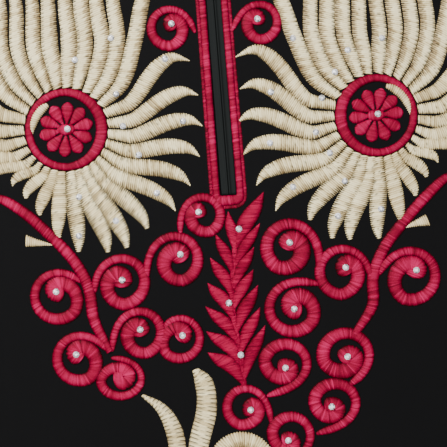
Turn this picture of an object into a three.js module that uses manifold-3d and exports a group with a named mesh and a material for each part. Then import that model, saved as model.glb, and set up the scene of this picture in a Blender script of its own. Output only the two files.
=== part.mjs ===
// A long-sleeved abaya laid flat on its back: front and back panels, sleeves, neck binding, a zipped
// chest slit with a stitched border, and raised satin-stitch flowers, scrolls and leaves on the chest.
// Millimetres. x runs to the viewer's right, y towards the neck, z up from the surface it lies on.
// The pieces are laid out from the foot of the chest slit, and the finished group is then centred.
import * as THREE from "three";
import { mergeVertices } from "three/addons/utils/BufferGeometryUtils.js";
import Module from "manifold-3d";

const wasm = await Module();
wasm.setup();

// ---- Driving sizes -------------------------------------------------------------------------------
const CLOTH = 1.2; // wall of each panel
const GAP = 0.3; // between neighbouring pieces
const FRONT_Z = CLOTH + GAP; // underside of the front panel where the layers touch
const STITCH_Z = FRONT_Z + CLOTH + GAP; // underside of the raised embroidery
const STITCH_HEIGHT = 1.1;
const HEM_Y = -1106;
const HEM_RISE = 26; // the hem's ends stand higher than its middle
const NECK_Y = 312; // where the shoulder seam meets the neck
const NECK = { halfWidth: 88, frontDrop: 90, backDrop: 24, binding: 7 };
const SHOULDER = { x: 205, y: 278 };
const UNDERARM = { x: 288, y: 40 };
const SLEEVE = { topLength: 600, droop: 38, cuff: 175, pillow: 2.4 };
const SLIT = { half: 4.5, foot: 6.3, border: 6.1, corner: 2.6, margin: 0.4, seam: 0.15, tape: 0.8 };
const SLIDER = { plate: 0.6, post: 1, postAt: 2.7, bar: 0.6 };
const PULL = { y: 214, z: 5.0, hole: 0.95, barrel: 1.45, width: 3.6 };
const TAB = { length: 22, half: 3.4, neck: 1.5, thick: 1.2 };

// Half widths of both panels below the underarm.
const SIDE = [
  { y: HEM_Y, half: 440 },
  { y: -980, half: 421 },
  { y: -840, half: 400 },
  { y: -690, half: 376 },
  { y: -540, half: 352 },
  { y: -400, half: 331 },
  { y: -280, half: 315 },
  { y: -180, half: 303 },
  { y: -90, half: 295 },
  { y: -20, half: 290 },
];

// Soft flutes of the front panel's skirt: x where each meets the hem, the height it dies out at,
// its lean as it rises, its half width and how far it lifts the cloth.
const FLUTES = [
  { x: -330, top: -420, lean: 70, half: 46, lift: 3.2 },
  { x: -195, top: -300, lean: 52, half: 40, lift: 2.6 },
  { x: -70, top: -560, lean: 22, half: 38, lift: 3.3 },
  { x: 82, top: -350, lean: -20, half: 44, lift: 2.4 },
  { x: 215, top: -250, lean: -58, half: 42, lift: 3.3 },
  { x: 345, top: -480, lean: -66, half: 44, lift: 2.9 },
];

// ---- Colours -------------------------------------------------------------------------------------
const finish = (color, roughness, metalness = 0) =>
  new THREE.MeshStandardMaterial({ color, roughness, metalness });
const BLACK_CREPE = () => finish(0x151516, 0.85);
const CRIMSON = () => finish(0xc82350, 0.45);
const CREAM = () => finish(0xd7cdb4, 0.5);
const BRONZE_THREAD = () => finish(0x8a6230, 0.5);
const ZIP_TAPE = () => finish(0x1c1f1e, 0.8);
const BLACK_METAL = () => finish(0x26262a, 0.35, 0.8);

// ---- Solids --------------------------------------------------------------------------------------
const lerp = THREE.MathUtils.lerp;
const ramp = (v, from, to) => THREE.MathUtils.smoothstep(v, from, to);
const rad = THREE.MathUtils.degToRad;
const polar = (r, degrees) => [r * Math.cos(rad(degrees)), r * Math.sin(rad(degrees))];
const range = (n, make) => Array.from({ length: n }, (_, i) => make(i));
const along = (stops, t) => {
  const at = Math.min(Math.max(t, 0), 1) * (stops.length - 1);
  const i = Math.min(Math.floor(at), stops.length - 2);
  return lerp(stops[i], stops[i + 1], at - i);
};

function solidOf(geometry) {
  const bare = geometry.index ? geometry.toNonIndexed() : geometry.clone();
  const positions = new THREE.BufferGeometry().setAttribute("position", bare.attributes.position);
  const merged = mergeVertices(positions, 1e-3);
  return new wasm.Manifold(
    new wasm.Mesh({
      numProp: 3,
      vertProperties: merged.attributes.position.array,
      triVerts: new Uint32Array(merged.index.array),
    }),
  );
}

function geometryOf(solid) {
  const mesh = solid.getMesh();
  return new THREE.BufferGeometry()
    .setAttribute("position", new THREE.BufferAttribute(Float32Array.from(mesh.vertProperties), 3))
    .setIndex(new THREE.BufferAttribute(Uint32Array.from(mesh.triVerts), 1));
}

const largestBody = (solid) =>
  solid.decompose().reduce((best, body) => (body.volume() > best.volume() ? body : best));

// Rings of equal length, each listed as its lower points and then its upper points, both from left to
// right, are skinned into one closed body.
function loft(rings) {
  const n = rings[0].length;
  const half = n / 2;
  const loop = [...range(half, (i) => i), ...range(half, (i) => n - 1 - i)];
  const triangles = [];
  const quad = (a, b, c, d) => triangles.push(a, b, c, a, c, d);
  rings.slice(1).forEach((_, row) => {
    const near = row * n;
    const far = near + n;
    loop.forEach((i, k) => {
      const j = loop[(k + 1) % n];
      quad(near + i, near + j, far + j, far + i);
    });
  });
  const last = (rings.length - 1) * n;
  for (let i = 0; i < half - 1; i++) {
    quad(i, i + half, i + half + 1, i + 1);
    quad(last + i, last + i + 1, last + i + half + 1, last + i + half);
  }
  const made = new THREE.BufferGeometry()
    .setAttribute("position", new THREE.Float32BufferAttribute(rings.flat(2), 3))
    .setIndex(triangles);
  const solid = solidOf(made);
  if (solid.volume() > 0) return solid;
  made.setIndex(triangles.map((_, i) => triangles[i - (i % 3) + [0, 2, 1][i % 3]]));
  return solidOf(made);
}

// An upright prism over a closed outline of [x, y] points.
function prism(outline, low, high) {
  const shape = new THREE.Shape(outline.map(([x, y]) => new THREE.Vector2(x, y)));
  const depth = high - low;
  const made = new THREE.ExtrudeGeometry(shape, { depth, bevelEnabled: false });
  return solidOf(made.translate(0, 0, low));
}

const box = (width, depth, height, x, y, z) =>
  solidOf(new THREE.BoxGeometry(width, depth, height).translate(x, y, z));

// A flat-topped ridge of satin stitch along a path of [x, y] points, with a half width at each. It can
// be grown all round, with upright sides, to cut its neighbours clear of it.
function ridge(path, halves, { low = STITCH_Z, height = STITCH_HEIGHT, grow = 0, bevel = 0.45 } = {}) {
  const rings = path.map(([x, y], i) => {
    const [x0, y0] = path[Math.max(i - 1, 0)];
    const [x1, y1] = path[Math.min(i + 1, path.length - 1)];
    const length = Math.hypot(x1 - x0, y1 - y0);
    const side = [(y1 - y0) / length, -(x1 - x0) / length];
    const end = i === 0 ? -grow : i === path.length - 1 ? grow : 0;
    const ahead = [((x1 - x0) / length) * end, ((y1 - y0) / length) * end];
    const wide = halves[i] + grow;
    const crest = grow ? wide : Math.max(0.75 * wide - bevel, 0.4 * wide);
    const at = (offset, z) => [x + ahead[0] + side[0] * offset, y + ahead[1] + side[1] * offset, z];
    return [
      at(-wide, low - grow),
      at(wide, low - grow),
      at(-crest, low + height + grow),
      at(crest, low + height + grow),
    ];
  });
  return loft(rings);
}

const curveThrough = (points, steps) =>
  new THREE.CatmullRomCurve3(points.map(([x, y]) => new THREE.Vector3(x, y, 0)), false, "centripetal")
    .getPoints(steps)
    .map((p) => [p.x, p.y]);

// ---- Panels --------------------------------------------------------------------------------------
const armhole = new THREE.QuadraticBezierCurve(
  new THREE.Vector2(UNDERARM.x, UNDERARM.y),
  new THREE.Vector2(206, 84),
  new THREE.Vector2(SHOULDER.x, SHOULDER.y),
);
const ARMHOLE_STEPS = 6;
const armholePoints = armhole.getPoints(ARMHOLE_STEPS);
const armholeAt = (v) => ({
  x: along(armholePoints.map((p) => p.x), v),
  y: along(armholePoints.map((p) => p.y), v),
});
const outlineRows = [
  ...SIDE,
  ...armholePoints.map((p) => ({ y: p.y, half: p.x - GAP / 2 })),
  { y: lerp(SHOULDER.y, NECK_Y, 0.5), half: lerp(SHOULDER.x, NECK.halfWidth + 12, 0.5) },
  { y: NECK_Y, half: NECK.halfWidth + 12 },
];

function fluteLift(x, y) {
  return FLUTES.reduce((sum, f) => {
    const rise = (y - HEM_Y) / (f.top - HEM_Y);
    if (rise > 1) return sum;
    const off = (x - f.x - f.lean * rise) / (f.half * (1 - 0.35 * rise));
    return Math.abs(off) > 1 ? sum : sum + f.lift * (1 - rise * rise) * Math.cos((off * Math.PI) / 2) ** 2;
  }, 0);
}

// Both panels share one outline. The lift is how far the cloth rises off the layer under it.
function panel(low, columns, lift) {
  const rings = outlineRows.map(({ y, half }) => {
    const sag = ramp(-y, 500, -HEM_Y) * HEM_RISE;
    const points = range(columns + 1, (i) => {
      const share = (2 * i) / columns - 1;
      return [share * half, y + sag * share * share];
    });
    const lower = points.map(([x, v]) => [x, v, low + lift(x, y)]);
    return [...lower, ...lower.map(([x, v, z]) => [x, v, z + CLOTH])];
  });
  return loft(rings);
}

// The neckline is the lower half of an ellipse, moved inwards by an offset.
function neckline(drop, inset, from = 0, to = 1, steps = 24) {
  return range(steps + 1, (i) => {
    const a = Math.PI * (1 + lerp(from, to, i / steps));
    const normal = new THREE.Vector2(Math.cos(a) / NECK.halfWidth, Math.sin(a) / drop).normalize();
    return [NECK.halfWidth * Math.cos(a) - inset * normal.x, NECK_Y + drop * Math.sin(a) - inset * normal.y];
  });
}

const neckCut = (drop) => {
  const edge = neckline(drop, 0);
  const past = 40;
  return prism([[-NECK.halfWidth, NECK_Y + past], ...edge, [NECK.halfWidth, NECK_Y + past]], -5, 20);
};

const slitHalf = SLIT.half + SLIT.margin;
const slitLength = 400; // well past the neckline
const slitCut = box(2 * slitHalf, slitLength, 30, 0, SLIT.foot - GAP + slitLength / 2, 0);

function frontPanel() {
  return largestBody(panel(FRONT_Z, 20, fluteLift).subtract(neckCut(NECK.frontDrop)).subtract(slitCut));
}

function backPanel() {
  return panel(0, 4, () => 0).subtract(neckCut(NECK.backDrop));
}

function neckBinding(drop, low, height, from, to) {
  const path = neckline(drop, GAP + NECK.binding / 2, from, to, 12);
  return ridge(path, path.map(() => NECK.binding / 2), { low, height, bevel: 0.3 });
}

// ---- Sleeves -------------------------------------------------------------------------------------
// A flattened tube from the armhole to the cuff, both walls and its two folded edges in one body.
function sleeve(mirror) {
  const rows = 7;
  const columns = ARMHOLE_STEPS * 2;
  const down = rad(SLEEVE.droop);
  const [sideways, downwards] = polar(SLEEVE.topLength, SLEEVE.droop);
  const top = [SHOULDER.x + sideways, SHOULDER.y - downwards];
  const cuffEnd = [top[0] - SLEEVE.cuff * Math.sin(down), top[1] - SLEEVE.cuff * Math.cos(down)];
  const slab = (past, inset, low, high) => {
    const rings = range(rows + 1, (r) => {
      const u = lerp(-past, 1 + past, r / rows);
      const points = range(columns + 1, (c) => {
        const v = lerp(inset, 1 - inset, c / columns);
        const hole = armholeAt(v);
        const pillow = Math.sin(Math.PI * v) * Math.sin(Math.PI * Math.min(Math.max(u, 0), 1)) ** 0.5;
        const drag = 1 + 0.35 * Math.cos(Math.PI * (3 * u + 2.2 * v));
        return [
          mirror * lerp(hole.x + GAP / 2, lerp(cuffEnd[0], top[0], v), u),
          lerp(hole.y, lerp(cuffEnd[1], top[1], v), u),
          SLEEVE.pillow * pillow * drag,
        ];
      });
      return [
        ...points.map(([x, y]) => [x, y, low]),
        ...points.map(([x, y, lift]) => [x, y, high + lift]),
      ];
    });
    return loft(rings);
  };
  const edgeInset = 0.006;
  const outer = slab(0, 0, 0, FRONT_Z + CLOTH);
  return largestBody(outer.subtract(slab(0.02, edgeInset, CLOTH, FRONT_Z)));
}

// ---- Zip and slit border ---------------------------------------------------------------------------
function slitBorder(grow) {
  const half = SLIT.border / 2;
  const x = SLIT.half + half;
  const top = NECK_Y - NECK.frontDrop - 2 * GAP;
  const foot = SLIT.foot - half;
  const left = [
    [-x + 0.5, top],
    [-x, top / 2],
    [-x - 0.2, foot + SLIT.corner + 4],
    [-x + 0.4, foot + SLIT.corner],
    [-x + SLIT.corner + 0.6, foot],
  ];
  const right = left.map(([px, py]) => [-px, py]).reverse();
  const path = [...left, ...right];
  return ridge(path, path.map(() => half), { grow });
}

function zipTape(side) {
  const width = SLIT.half - SLIT.seam;
  const top = NECK_Y - NECK.frontDrop + NECK.binding - 1;
  const foot = SLIT.foot + GAP;
  return box(width, top - foot, SLIT.tape, side * (SLIT.seam + width / 2), (top + foot) / 2,
    FRONT_Z + SLIT.tape / 2);
}

const zipTopZ = FRONT_Z + SLIT.tape;

// A round bar across the zip, at the height the tab turns about.
const crossBar = (radius, width, sides) =>
  solidOf(new THREE.CylinderGeometry(radius, radius, width, sides).rotateZ(Math.PI / 2)
    .translate(0, PULL.y, PULL.z));

function zipSlider() {
  const low = zipTopZ + GAP;
  const postTop = PULL.z + SLIDER.post;
  const outline = [[-2.2, -7], [2.2, -7], [4, 4], [0, 5.5], [-4, 4]].map(([x, y]) => [x, PULL.y + y]);
  const plate = prism(outline, low, low + SLIDER.plate);
  const post = (x) => box(SLIDER.post, 2.2, postTop - low, x, PULL.y, (postTop + low) / 2);
  const bar = crossBar(SLIDER.bar, 2 * SLIDER.postAt + 0.6, 8);
  return plate.add(post(-SLIDER.postAt)).add(post(SLIDER.postAt)).add(bar);
}

// The tab hangs from the slider's bar and lies towards the hem.
function zipPull() {
  const end = PULL.y - TAB.length + TAB.half;
  const tip = range(9, (i) => {
    const [x, y] = polar(TAB.half, 180 + (180 * i) / 8);
    return [x, end + y];
  });
  const shoulder = PULL.y - 4;
  const outline = [
    [-TAB.neck, PULL.y],
    [-TAB.neck, shoulder],
    ...tip,
    [TAB.neck, shoulder],
    [TAB.neck, PULL.y],
  ];
  const blade = prism(outline, PULL.z - TAB.thick / 2, PULL.z + TAB.thick / 2);
  return crossBar(PULL.barrel, PULL.width, 12).add(blade).subtract(crossBar(PULL.hole, 8, 12));
}

// ---- Embroidery: flowers ---------------------------------------------------------------------------
const RING = { radius: 22, half: 2.9 };
const PETAL_ROOT = RING.radius + RING.half + GAP;
const FLOWERS = [
  { name: "left", x: -94.5, y: 53.2, inner: 1, turn: 0, reach: 82 },
  { name: "right", x: 91.9, y: 47.2, inner: -1, turn: 6, reach: 83.5 },
];
const FLORET = { petals: 10, reach: 16, half: 3.2, disc: 4.8 };
const CRESCENT = { inner: 18.6, outer: 20.6, from: 66, to: -4, half: 2.7, height: 0.8 };
// Reach of the petals on the outer side, from the lowest up: the vine passes close under the lowest ones.
const OUTER_REACH = [65, 54, 48, 47, 55, 66, 76, 82, 82];

// A side petal leaves the ring straight, sags, rises and hooks over at its tip. The lowest are plainer,
// and the topmost arches highest.
function sidePetal(k, reach, mirror, turn) {
  const root = 18 - 14.8 * k + 0.33 * k * k;
  const spread = mirror < 0 ? 5 * (k / 8) ** 2 : 0;
  const tip = 24.5 - 13.1 * k + 0.06 * k * k + turn * Math.max(0, 1 - k / 6) - spread;
  const lift = 3.6 * (1 - k / 11);
  const arch = k === 0 ? 2.2 * lift : lift;
  const share = (reach - PETAL_ROOT) / 57;
  const path = curveThrough(
    [
      polar(PETAL_ROOT, root),
      polar(PETAL_ROOT + 16 * share, root - 1),
      polar(PETAL_ROOT + 32 * share, lerp(root, tip, 0.7) + arch),
      polar(PETAL_ROOT + 46 * share, tip + arch),
      polar(reach, tip - 0.5 * lift),
    ],
    7,
  );
  const hooked = k < 6;
  const half = (hooked ? 4.5 : 3.9) * Math.min(1, 0.45 + 0.55 * share);
  const swell = hooked
    ? [0.56, 0.7, 0.88, 0.98, 1, 0.92, 0.66, 0.08]
    : [0.6, 0.76, 0.92, 1, 1, 0.95, 0.78, 0.25];
  return { path: path.map(([x, y]) => [mirror * x, y]), halves: swell.map((part) => half * part) };
}

// An upper petal leaves the ring straight and bends upright. The outermost one leans out again.
function upperPetal(j, mirror) {
  const [x0, y0] = polar(PETAL_ROOT, 83.5 - 13.3 * j);
  const lane = 4.8 + 9.7 * j;
  const outermost = j === 4;
  const end = 120 - 5 * j;
  const path = curveThrough(
    [
      [x0, y0],
      [lerp(x0, lane, 0.62), y0 + 12],
      [lane + (outermost ? 1.5 : 1), 50],
      [lane + (outermost ? 9 : 0), 76],
      [lane + (outermost ? 22 : 2), end],
    ],
    7,
  );
  const widest = outermost ? 5.6 : 4.55;
  const halves = path.map((_, i) => widest * along([0.5, 0.72, 0.95, 1, 1, 0.95, 0.7, 0.1], i / 7));
  return { path: path.map(([x, y]) => [mirror * x, y]), halves };
}

function flowerPetals(flower, grow) {
  const petals = [
    ...range(10, (k) => sidePetal(k, flower.reach - 2 * Math.max(0, k - 5), 1, flower.turn)),
    ...OUTER_REACH.map((reach, i) => sidePetal(8 - i, reach, -1, 0)),
    ...range(5, (j) => upperPetal(j, 1)),
    ...range(5, (j) => upperPetal(j, -1)),
  ];
  const place = ([x, y]) => [flower.x + flower.inner * x, flower.y + y];
  const root = ringRidge(flower, PETAL_ROOT + 0.8, 0.8, 30, grow);
  return petals.reduce((all, { path, halves }) => all.add(ridge(path.map(place), halves, { grow })), root);
}

function ringRidge(flower, radius, half, steps, grow) {
  const circle = (r) => range(steps, (i) => {
    const a = (2 * Math.PI * i) / steps;
    return [flower.x + r * Math.cos(a), flower.y + r * Math.sin(a)];
  });
  const low = STITCH_Z - grow;
  const high = STITCH_Z + STITCH_HEIGHT + grow;
  return prism(circle(radius + half + grow), low, high).subtract(
    prism(circle(radius - half - grow), low - 1, high + 1));
}

function floret(flower) {
  const spin = 18;
  const petals = range(FLORET.petals, (i) => {
    const turn = spin + (360 * i) / FLORET.petals;
    const path = [3, 8.5, 12.5, FLORET.reach].map((r) => {
      const [x, y] = polar(r, turn);
      return [flower.x + x, flower.y + y];
    });
    return ridge(path, [0.9, 2.3, FLORET.half, 1.9]);
  });
  const disc = prism(range(14, (i) => {
    const [x, y] = polar(FLORET.disc, (360 * i) / 14);
    return [flower.x + x, flower.y + y];
  }), STITCH_Z, STITCH_Z + STITCH_HEIGHT);
  return petals.reduce((all, petal) => all.add(petal), disc);
}

// A cream crescent is stitched over the ring's inner edge, on the side away from the slit.
function crescent(flower) {
  const path = range(7, (i) => {
    const radius = lerp(CRESCENT.inner, CRESCENT.outer, i / 6);
    const [x, y] = polar(radius, lerp(CRESCENT.from, CRESCENT.to, i / 6));
    return [flower.x - flower.inner * x, flower.y + y];
  });
  const halves = [0.55, 0.9, 1, 1, 0.9, 0.65, 0.2].map((part) => part * CRESCENT.half);
  return ridge(path, halves, { low: STITCH_Z + STITCH_HEIGHT + GAP, height: CRESCENT.height });
}

// ---- Embroidery: scrolls and vines -------------------------------------------------------------------
// Each scroll leaves its start, runs round the circle of its radius about (x, y) and curls into its
// eye. The hand is 1 where it turns left on its way in, and -1 where right.
const SCROLLS = [
  { name: "left_1", x: -28, y: 109, radius: 10.5, eye: [-26.5, 111.5], start: [-12, 105], hand: 1 },
  { name: "left_2", x: -17, y: -4.5, radius: 10.5, eye: [-19, -2.5], start: [-31, -15], hand: -1 },
  { name: "left_3", x: -35.5, y: -29.5, radius: 13.3, eye: [-32, -27], start: [-53, -46], hand: -1 },
  { name: "left_4", x: -68.5, y: -40.5, radius: 13.3, eye: [-68, -39.5], start: [-84.5, -48], hand: -1 },
  { name: "left_5", x: -60, y: -72, radius: 12.4, eye: [-59.5, -70], start: [-77, -82], hand: -1 },
  { name: "left_6", x: -37, y: -77, radius: 11.8, eye: [-34.5, -75.5], start: [-46.5, -72], hand: -1 },
  { name: "left_7", x: -97.5, y: -84.5, radius: 12.8, eye: [-99, -82], start: [-79, -82], hand: 1 },
  { name: "left_8", x: -73, y: -98, radius: 11.8, eye: [-71, -99], start: [-78, -86], hand: -1 },
  { name: "left_9", x: -106, y: -46, radius: 14.5, eye: [-107.5, -43.5], start: [-89.5, -46], hand: 1 },
  { name: "right_1", x: 27, y: 109, radius: 10, eye: [25.5, 110.5], start: [10, 105], hand: -1 },
  { name: "right_2", x: 34.5, y: -27.5, radius: 13.9, eye: [34, -25], start: [50.5, -54], hand: 1 },
  { name: "right_3", x: 67, y: -45, radius: 13.5, eye: [66, -42], start: [82.5, -53], hand: 1 },
  { name: "right_4", x: 33, y: -63, radius: 13.5, eye: [34, -64.5], start: [50, -50.5], hand: 1 },
  { name: "right_5", x: 26, y: -96.5, radius: 12, eye: [25, -99.5], start: [12.5, -115], hand: 1 },
  { name: "right_6", x: 62.5, y: -93.5, radius: 13.2, eye: [63, -95.5], start: [62, -112], hand: 1 },
  { name: "right_7", x: 53, y: -121.5, radius: 12, eye: [51, -124.5], start: [40, -139.5], hand: 1 },
  { name: "right_8", x: -0.5, y: -121, radius: 10.8, eye: [2.5, -123], start: [14.5, -133], hand: 1 },
  { name: "right_9", x: 25.5, y: -140, radius: 11.2, eye: [23.5, -143], start: [13, -156], hand: 1 },
  { name: "right_10", x: 103, y: -50, radius: 14, eye: [104.5, -47.5], start: [86, -50], hand: -1 },
];
const SCROLL = { turn: 490, tighten: 0.58, steps: 17, lead: 40, swell: 1.04 };
const SCROLL_HALF = [1.9, 2.2, 2.5, 2.7, 3, 3.3, 3.5, 3.2, 4.2];
const VINES = [
  {
    name: "left",
    points: [[-151, 17], [-137, 15], [-124, 6.5], [-113, -4], [-96, -24], [-88, -42], [-86, -62], [-78, -82]],
  },
  {
    name: "right",
    points: [[145, 10], [131, 7], [118, -2.5], [104.5, -15.5], [89, -33], [81.5, -50], [80, -66], [68, -83]],
  },
];
const VINE_HALF = [0.5, 2.2, 2.8, 2.9, 2.9, 3, 2.9, 2.5];

function scrollRidge(s, grow) {
  const start = Math.atan2(s.start[1] - s.y, s.start[0] - s.x);
  const wide = s.radius / 13;
  const radius = SCROLL.swell * s.radius;
  const first = [s.x + radius * Math.cos(start), s.y + radius * Math.sin(start)];
  const path = range(SCROLL.steps + 1, (i) => {
    const t = i / SCROLL.steps;
    const tight = Math.max(0, (t - SCROLL.tighten) / (1 - SCROLL.tighten)) ** 1.15;
    const a = start + s.hand * rad(SCROLL.turn) * t;
    const r = radius * (1 - tight);
    const lead = Math.exp((-SCROLL.turn * t) / SCROLL.lead);
    return [
      lerp(s.x, s.eye[0], tight) + r * Math.cos(a) + (s.start[0] - first[0]) * lead,
      lerp(s.y, s.eye[1], tight) + r * Math.sin(a) + (s.start[1] - first[1]) * lead,
    ];
  });
  const halves = path.map((_, i) => wide * along(SCROLL_HALF, i / SCROLL.steps));
  const [x1, y1] = path[SCROLL.steps];
  const [x0, y0] = path[SCROLL.steps - 1];
  const ahead = Math.hypot(x1 - x0, y1 - y0);
  [[2.6, 3.3], [4.2, 1.2]].forEach(([step, half]) => {
    path.push([x1 + ((x1 - x0) / ahead) * step * wide, y1 + ((y1 - y0) / ahead) * step * wide]);
    halves.push(half * wide);
  });
  return ridge(path, halves, { grow });
}

function vineRidge(vine, grow) {
  const path = curveThrough(vine.points, 14);
  return ridge(path, path.map((_, i) => along(VINE_HALF, i / 14)), { grow });
}

// ---- Embroidery: leaf spray and lower motifs -----------------------------------------------------------
const STEM = [[-0.1, -109], [-0.5, -90], [-3, -69], [-2.8, -50], [-0.4, -36], [1.6, -21]];
const LEAF_HALF = 3.7;
// Leaves of the spray: where each leaves the stem, how far it reaches to the side and how far it rises.
const LEAVES = [
  { base: -108, reach: -20, rise: 18.5 },
  { base: -91, reach: -18.5, rise: 17 },
  { base: -77, reach: -17, rise: 18 },
  { base: -62, reach: -13, rise: 17 },
  { base: -48, reach: -10.5, rise: 18 },
  { base: -36, reach: -8, rise: 19.5 },
  { base: -24, reach: -1.5, rise: 21 },
  { base: -108, reach: 18, rise: 32 },
  { base: -85, reach: 14.5, rise: 21.5 },
  { base: -72, reach: 16, rise: 22 },
  { base: -58, reach: 14.5, rise: 17.5 },
  { base: -47, reach: 16, rise: 20 },
  { base: -34, reach: 18, rise: 21.5 },
  { base: -24, reach: 21, rise: 30 },
];
const BLADES = [
  {
    name: "blade_left",
    points: [[-61.5, -109.5], [-50, -118.5], [-43.5, -132], [-42, -150], [-45, -178]],
    halves: [0.3, 2.6, 4, 4.6, 3.8, 1.2],
  },
  {
    name: "blade_right",
    points: [[-29.5, -97.5], [-24, -107.5], [-23.5, -121], [-30, -142], [-37, -176]],
    halves: [1, 4.3, 5.8, 6.2, 5.6, 1.5],
  },
];
const ROSETTE = { x: -5, y: -156.5, radius: 20.5, eye: 10.5 };

function stemX(y) {
  const i = Math.max(0, STEM.slice(0, -1).findLastIndex(([, sy]) => sy <= y));
  const [[x0, y0], [x1, y1]] = [STEM[i], STEM[i + 1]];
  return lerp(x0, x1, Math.min(Math.max((y - y0) / (y1 - y0), 0), 1));
}

function leafSpray(grow) {
  const stem = ridge(STEM, STEM.map(() => 1.3), { grow });
  return LEAVES.reduce((all, { base, reach, rise }) => {
    const x = stemX(base);
    const out = Math.sign(reach);
    const middle = [x + reach * 0.42 + out * 0.8, base + rise * 0.42 - 1];
    const path = curveThrough([[x - out * 0.6, base - 1], middle, [x + reach, base + rise]], 4);
    const halves = path.map((_, i) => LEAF_HALF * [0.35, 0.9, 1, 0.72, 0.06][i]);
    return all.add(ridge(path, halves, { grow }));
  }, stem);
}

const blade = ({ points, halves }, grow) => {
  const path = curveThrough(points, 8);
  return ridge(path, path.map((_, i) => along(halves, i / 8)), { grow });
};

const rosetteRing = (grow) =>
  ringRidge(ROSETTE, (ROSETTE.radius + ROSETTE.eye) / 2, (ROSETTE.radius - ROSETTE.eye) / 2, 24, grow);

const rosetteEye = () =>
  prism(range(20, (i) => {
    const [x, y] = polar(ROSETTE.eye - GAP, (360 * i) / 20);
    return [ROSETTE.x + x, ROSETTE.y + y];
  }), STITCH_Z, STITCH_Z + STITCH_HEIGHT);

// ---- Assembly --------------------------------------------------------------------------------------
const abaya = new THREE.Group();
const laid = new THREE.Group();
laid.position.y = -(HEM_Y + NECK_Y) / 2;
abaya.add(laid);

function piece(name, solid, material) {
  const mesh = new THREE.Mesh(geometryOf(solid), material);
  mesh.name = name;
  laid.add(mesh);
}

piece("back_panel", backPanel(), BLACK_CREPE());
piece("front_panel", frontPanel(), BLACK_CREPE());
piece("sleeve_left", sleeve(-1), BLACK_CREPE());
piece("sleeve_right", sleeve(1), BLACK_CREPE());
piece("neck_binding_back", neckBinding(NECK.backDrop, 0.2, 1, 0.03, 0.97), BLACK_CREPE());
const slitShare = Math.asin((slitHalf + GAP) / (NECK.halfWidth - NECK.binding - GAP)) / Math.PI;
piece("neck_binding_left", neckBinding(NECK.frontDrop, FRONT_Z, 1.7, 0.01, 0.5 - slitShare), BLACK_CREPE());
piece("neck_binding_right", neckBinding(NECK.frontDrop, FRONT_Z, 1.7, 0.5 + slitShare, 0.99), BLACK_CREPE());
piece("zip_tape_left", zipTape(-1), ZIP_TAPE());
piece("zip_tape_right", zipTape(1), ZIP_TAPE());
piece("zip_slider", zipSlider(), BLACK_METAL());
piece("zip_pull", zipPull(), BLACK_METAL());

// Where two motifs meet, the later one stops a gap short of the earlier one.
const motifs = [
  { name: "slit_border", material: CRIMSON(), make: slitBorder },
  { name: "leaf_spray", material: CRIMSON(), make: leafSpray },
  ...VINES.map((vine) => ({
    name: "vine_" + vine.name,
    material: CRIMSON(),
    make: (grow) => vineRidge(vine, grow),
  })),
  ...FLOWERS.flatMap((flower) => [
    {
      name: "flower_ring_" + flower.name,
      material: CRIMSON(),
      make: (grow) => ringRidge(flower, RING.radius, RING.half, 30, grow),
    },
    {
      name: "flower_petals_" + flower.name,
      material: CREAM(),
      make: (grow) => flowerPetals(flower, grow),
    },
  ]),
  ...SCROLLS.map((scroll) => ({
    name: "scroll_" + scroll.name,
    material: CRIMSON(),
    make: (grow) => scrollRidge(scroll, grow),
  })),
  ...BLADES.map((b) => ({ name: b.name, material: CREAM(), make: (grow) => blade(b, grow) })),
  { name: "rosette", material: CREAM(), make: rosetteRing },
];
const taken = [];
motifs.forEach(({ name, material, make }) => {
  const clear = taken.reduce((solid, other) => solid.subtract(other), make(0));
  piece(name, largestBody(clear), material);
  taken.push(make(GAP));
});
FLOWERS.forEach((flower) => {
  piece("flower_floret_" + flower.name, floret(flower), CRIMSON());
  piece("flower_crescent_" + flower.name, crescent(flower), CREAM());
});
piece("rosette_eye", rosetteEye(), BRONZE_THREAD());

export default abaya;
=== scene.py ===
"""A black long-sleeved abaya laid flat, with satin-stitch embroidery and rhinestones on its chest.

The sizes are millimetres, laid out from the foot of the chest slit: x runs to the viewer's right and
y towards the neck. Every piece is moved into the frame, in metres, as its mesh is made.
"""

import math
from collections import namedtuple

import bpy
import numpy as np
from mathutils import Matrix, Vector


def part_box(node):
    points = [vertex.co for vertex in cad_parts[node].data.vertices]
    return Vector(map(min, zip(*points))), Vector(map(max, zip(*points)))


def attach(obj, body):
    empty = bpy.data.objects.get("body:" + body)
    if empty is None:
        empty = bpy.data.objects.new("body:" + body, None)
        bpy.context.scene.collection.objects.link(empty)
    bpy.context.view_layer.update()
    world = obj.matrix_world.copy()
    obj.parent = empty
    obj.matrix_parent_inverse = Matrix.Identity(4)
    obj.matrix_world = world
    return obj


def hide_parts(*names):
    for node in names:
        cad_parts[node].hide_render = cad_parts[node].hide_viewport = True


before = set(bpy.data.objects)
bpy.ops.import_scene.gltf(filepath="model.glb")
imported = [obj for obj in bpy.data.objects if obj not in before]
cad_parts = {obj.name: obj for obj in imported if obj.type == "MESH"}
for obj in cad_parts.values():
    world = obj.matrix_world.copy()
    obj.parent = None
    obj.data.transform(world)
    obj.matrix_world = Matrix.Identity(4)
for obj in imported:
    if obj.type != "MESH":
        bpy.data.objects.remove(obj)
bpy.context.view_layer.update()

bl_info = {
    "name": "Embroidered Abaya",
    "version": (1, 0, 0),
    "blender": (4, 5, 0),
    "location": "View3D > Sidebar > Abaya",
    "description": "Builds the cloth, embroidery, stones and zip of an abaya over its solid parts",
    "category": "Object",
}

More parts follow.
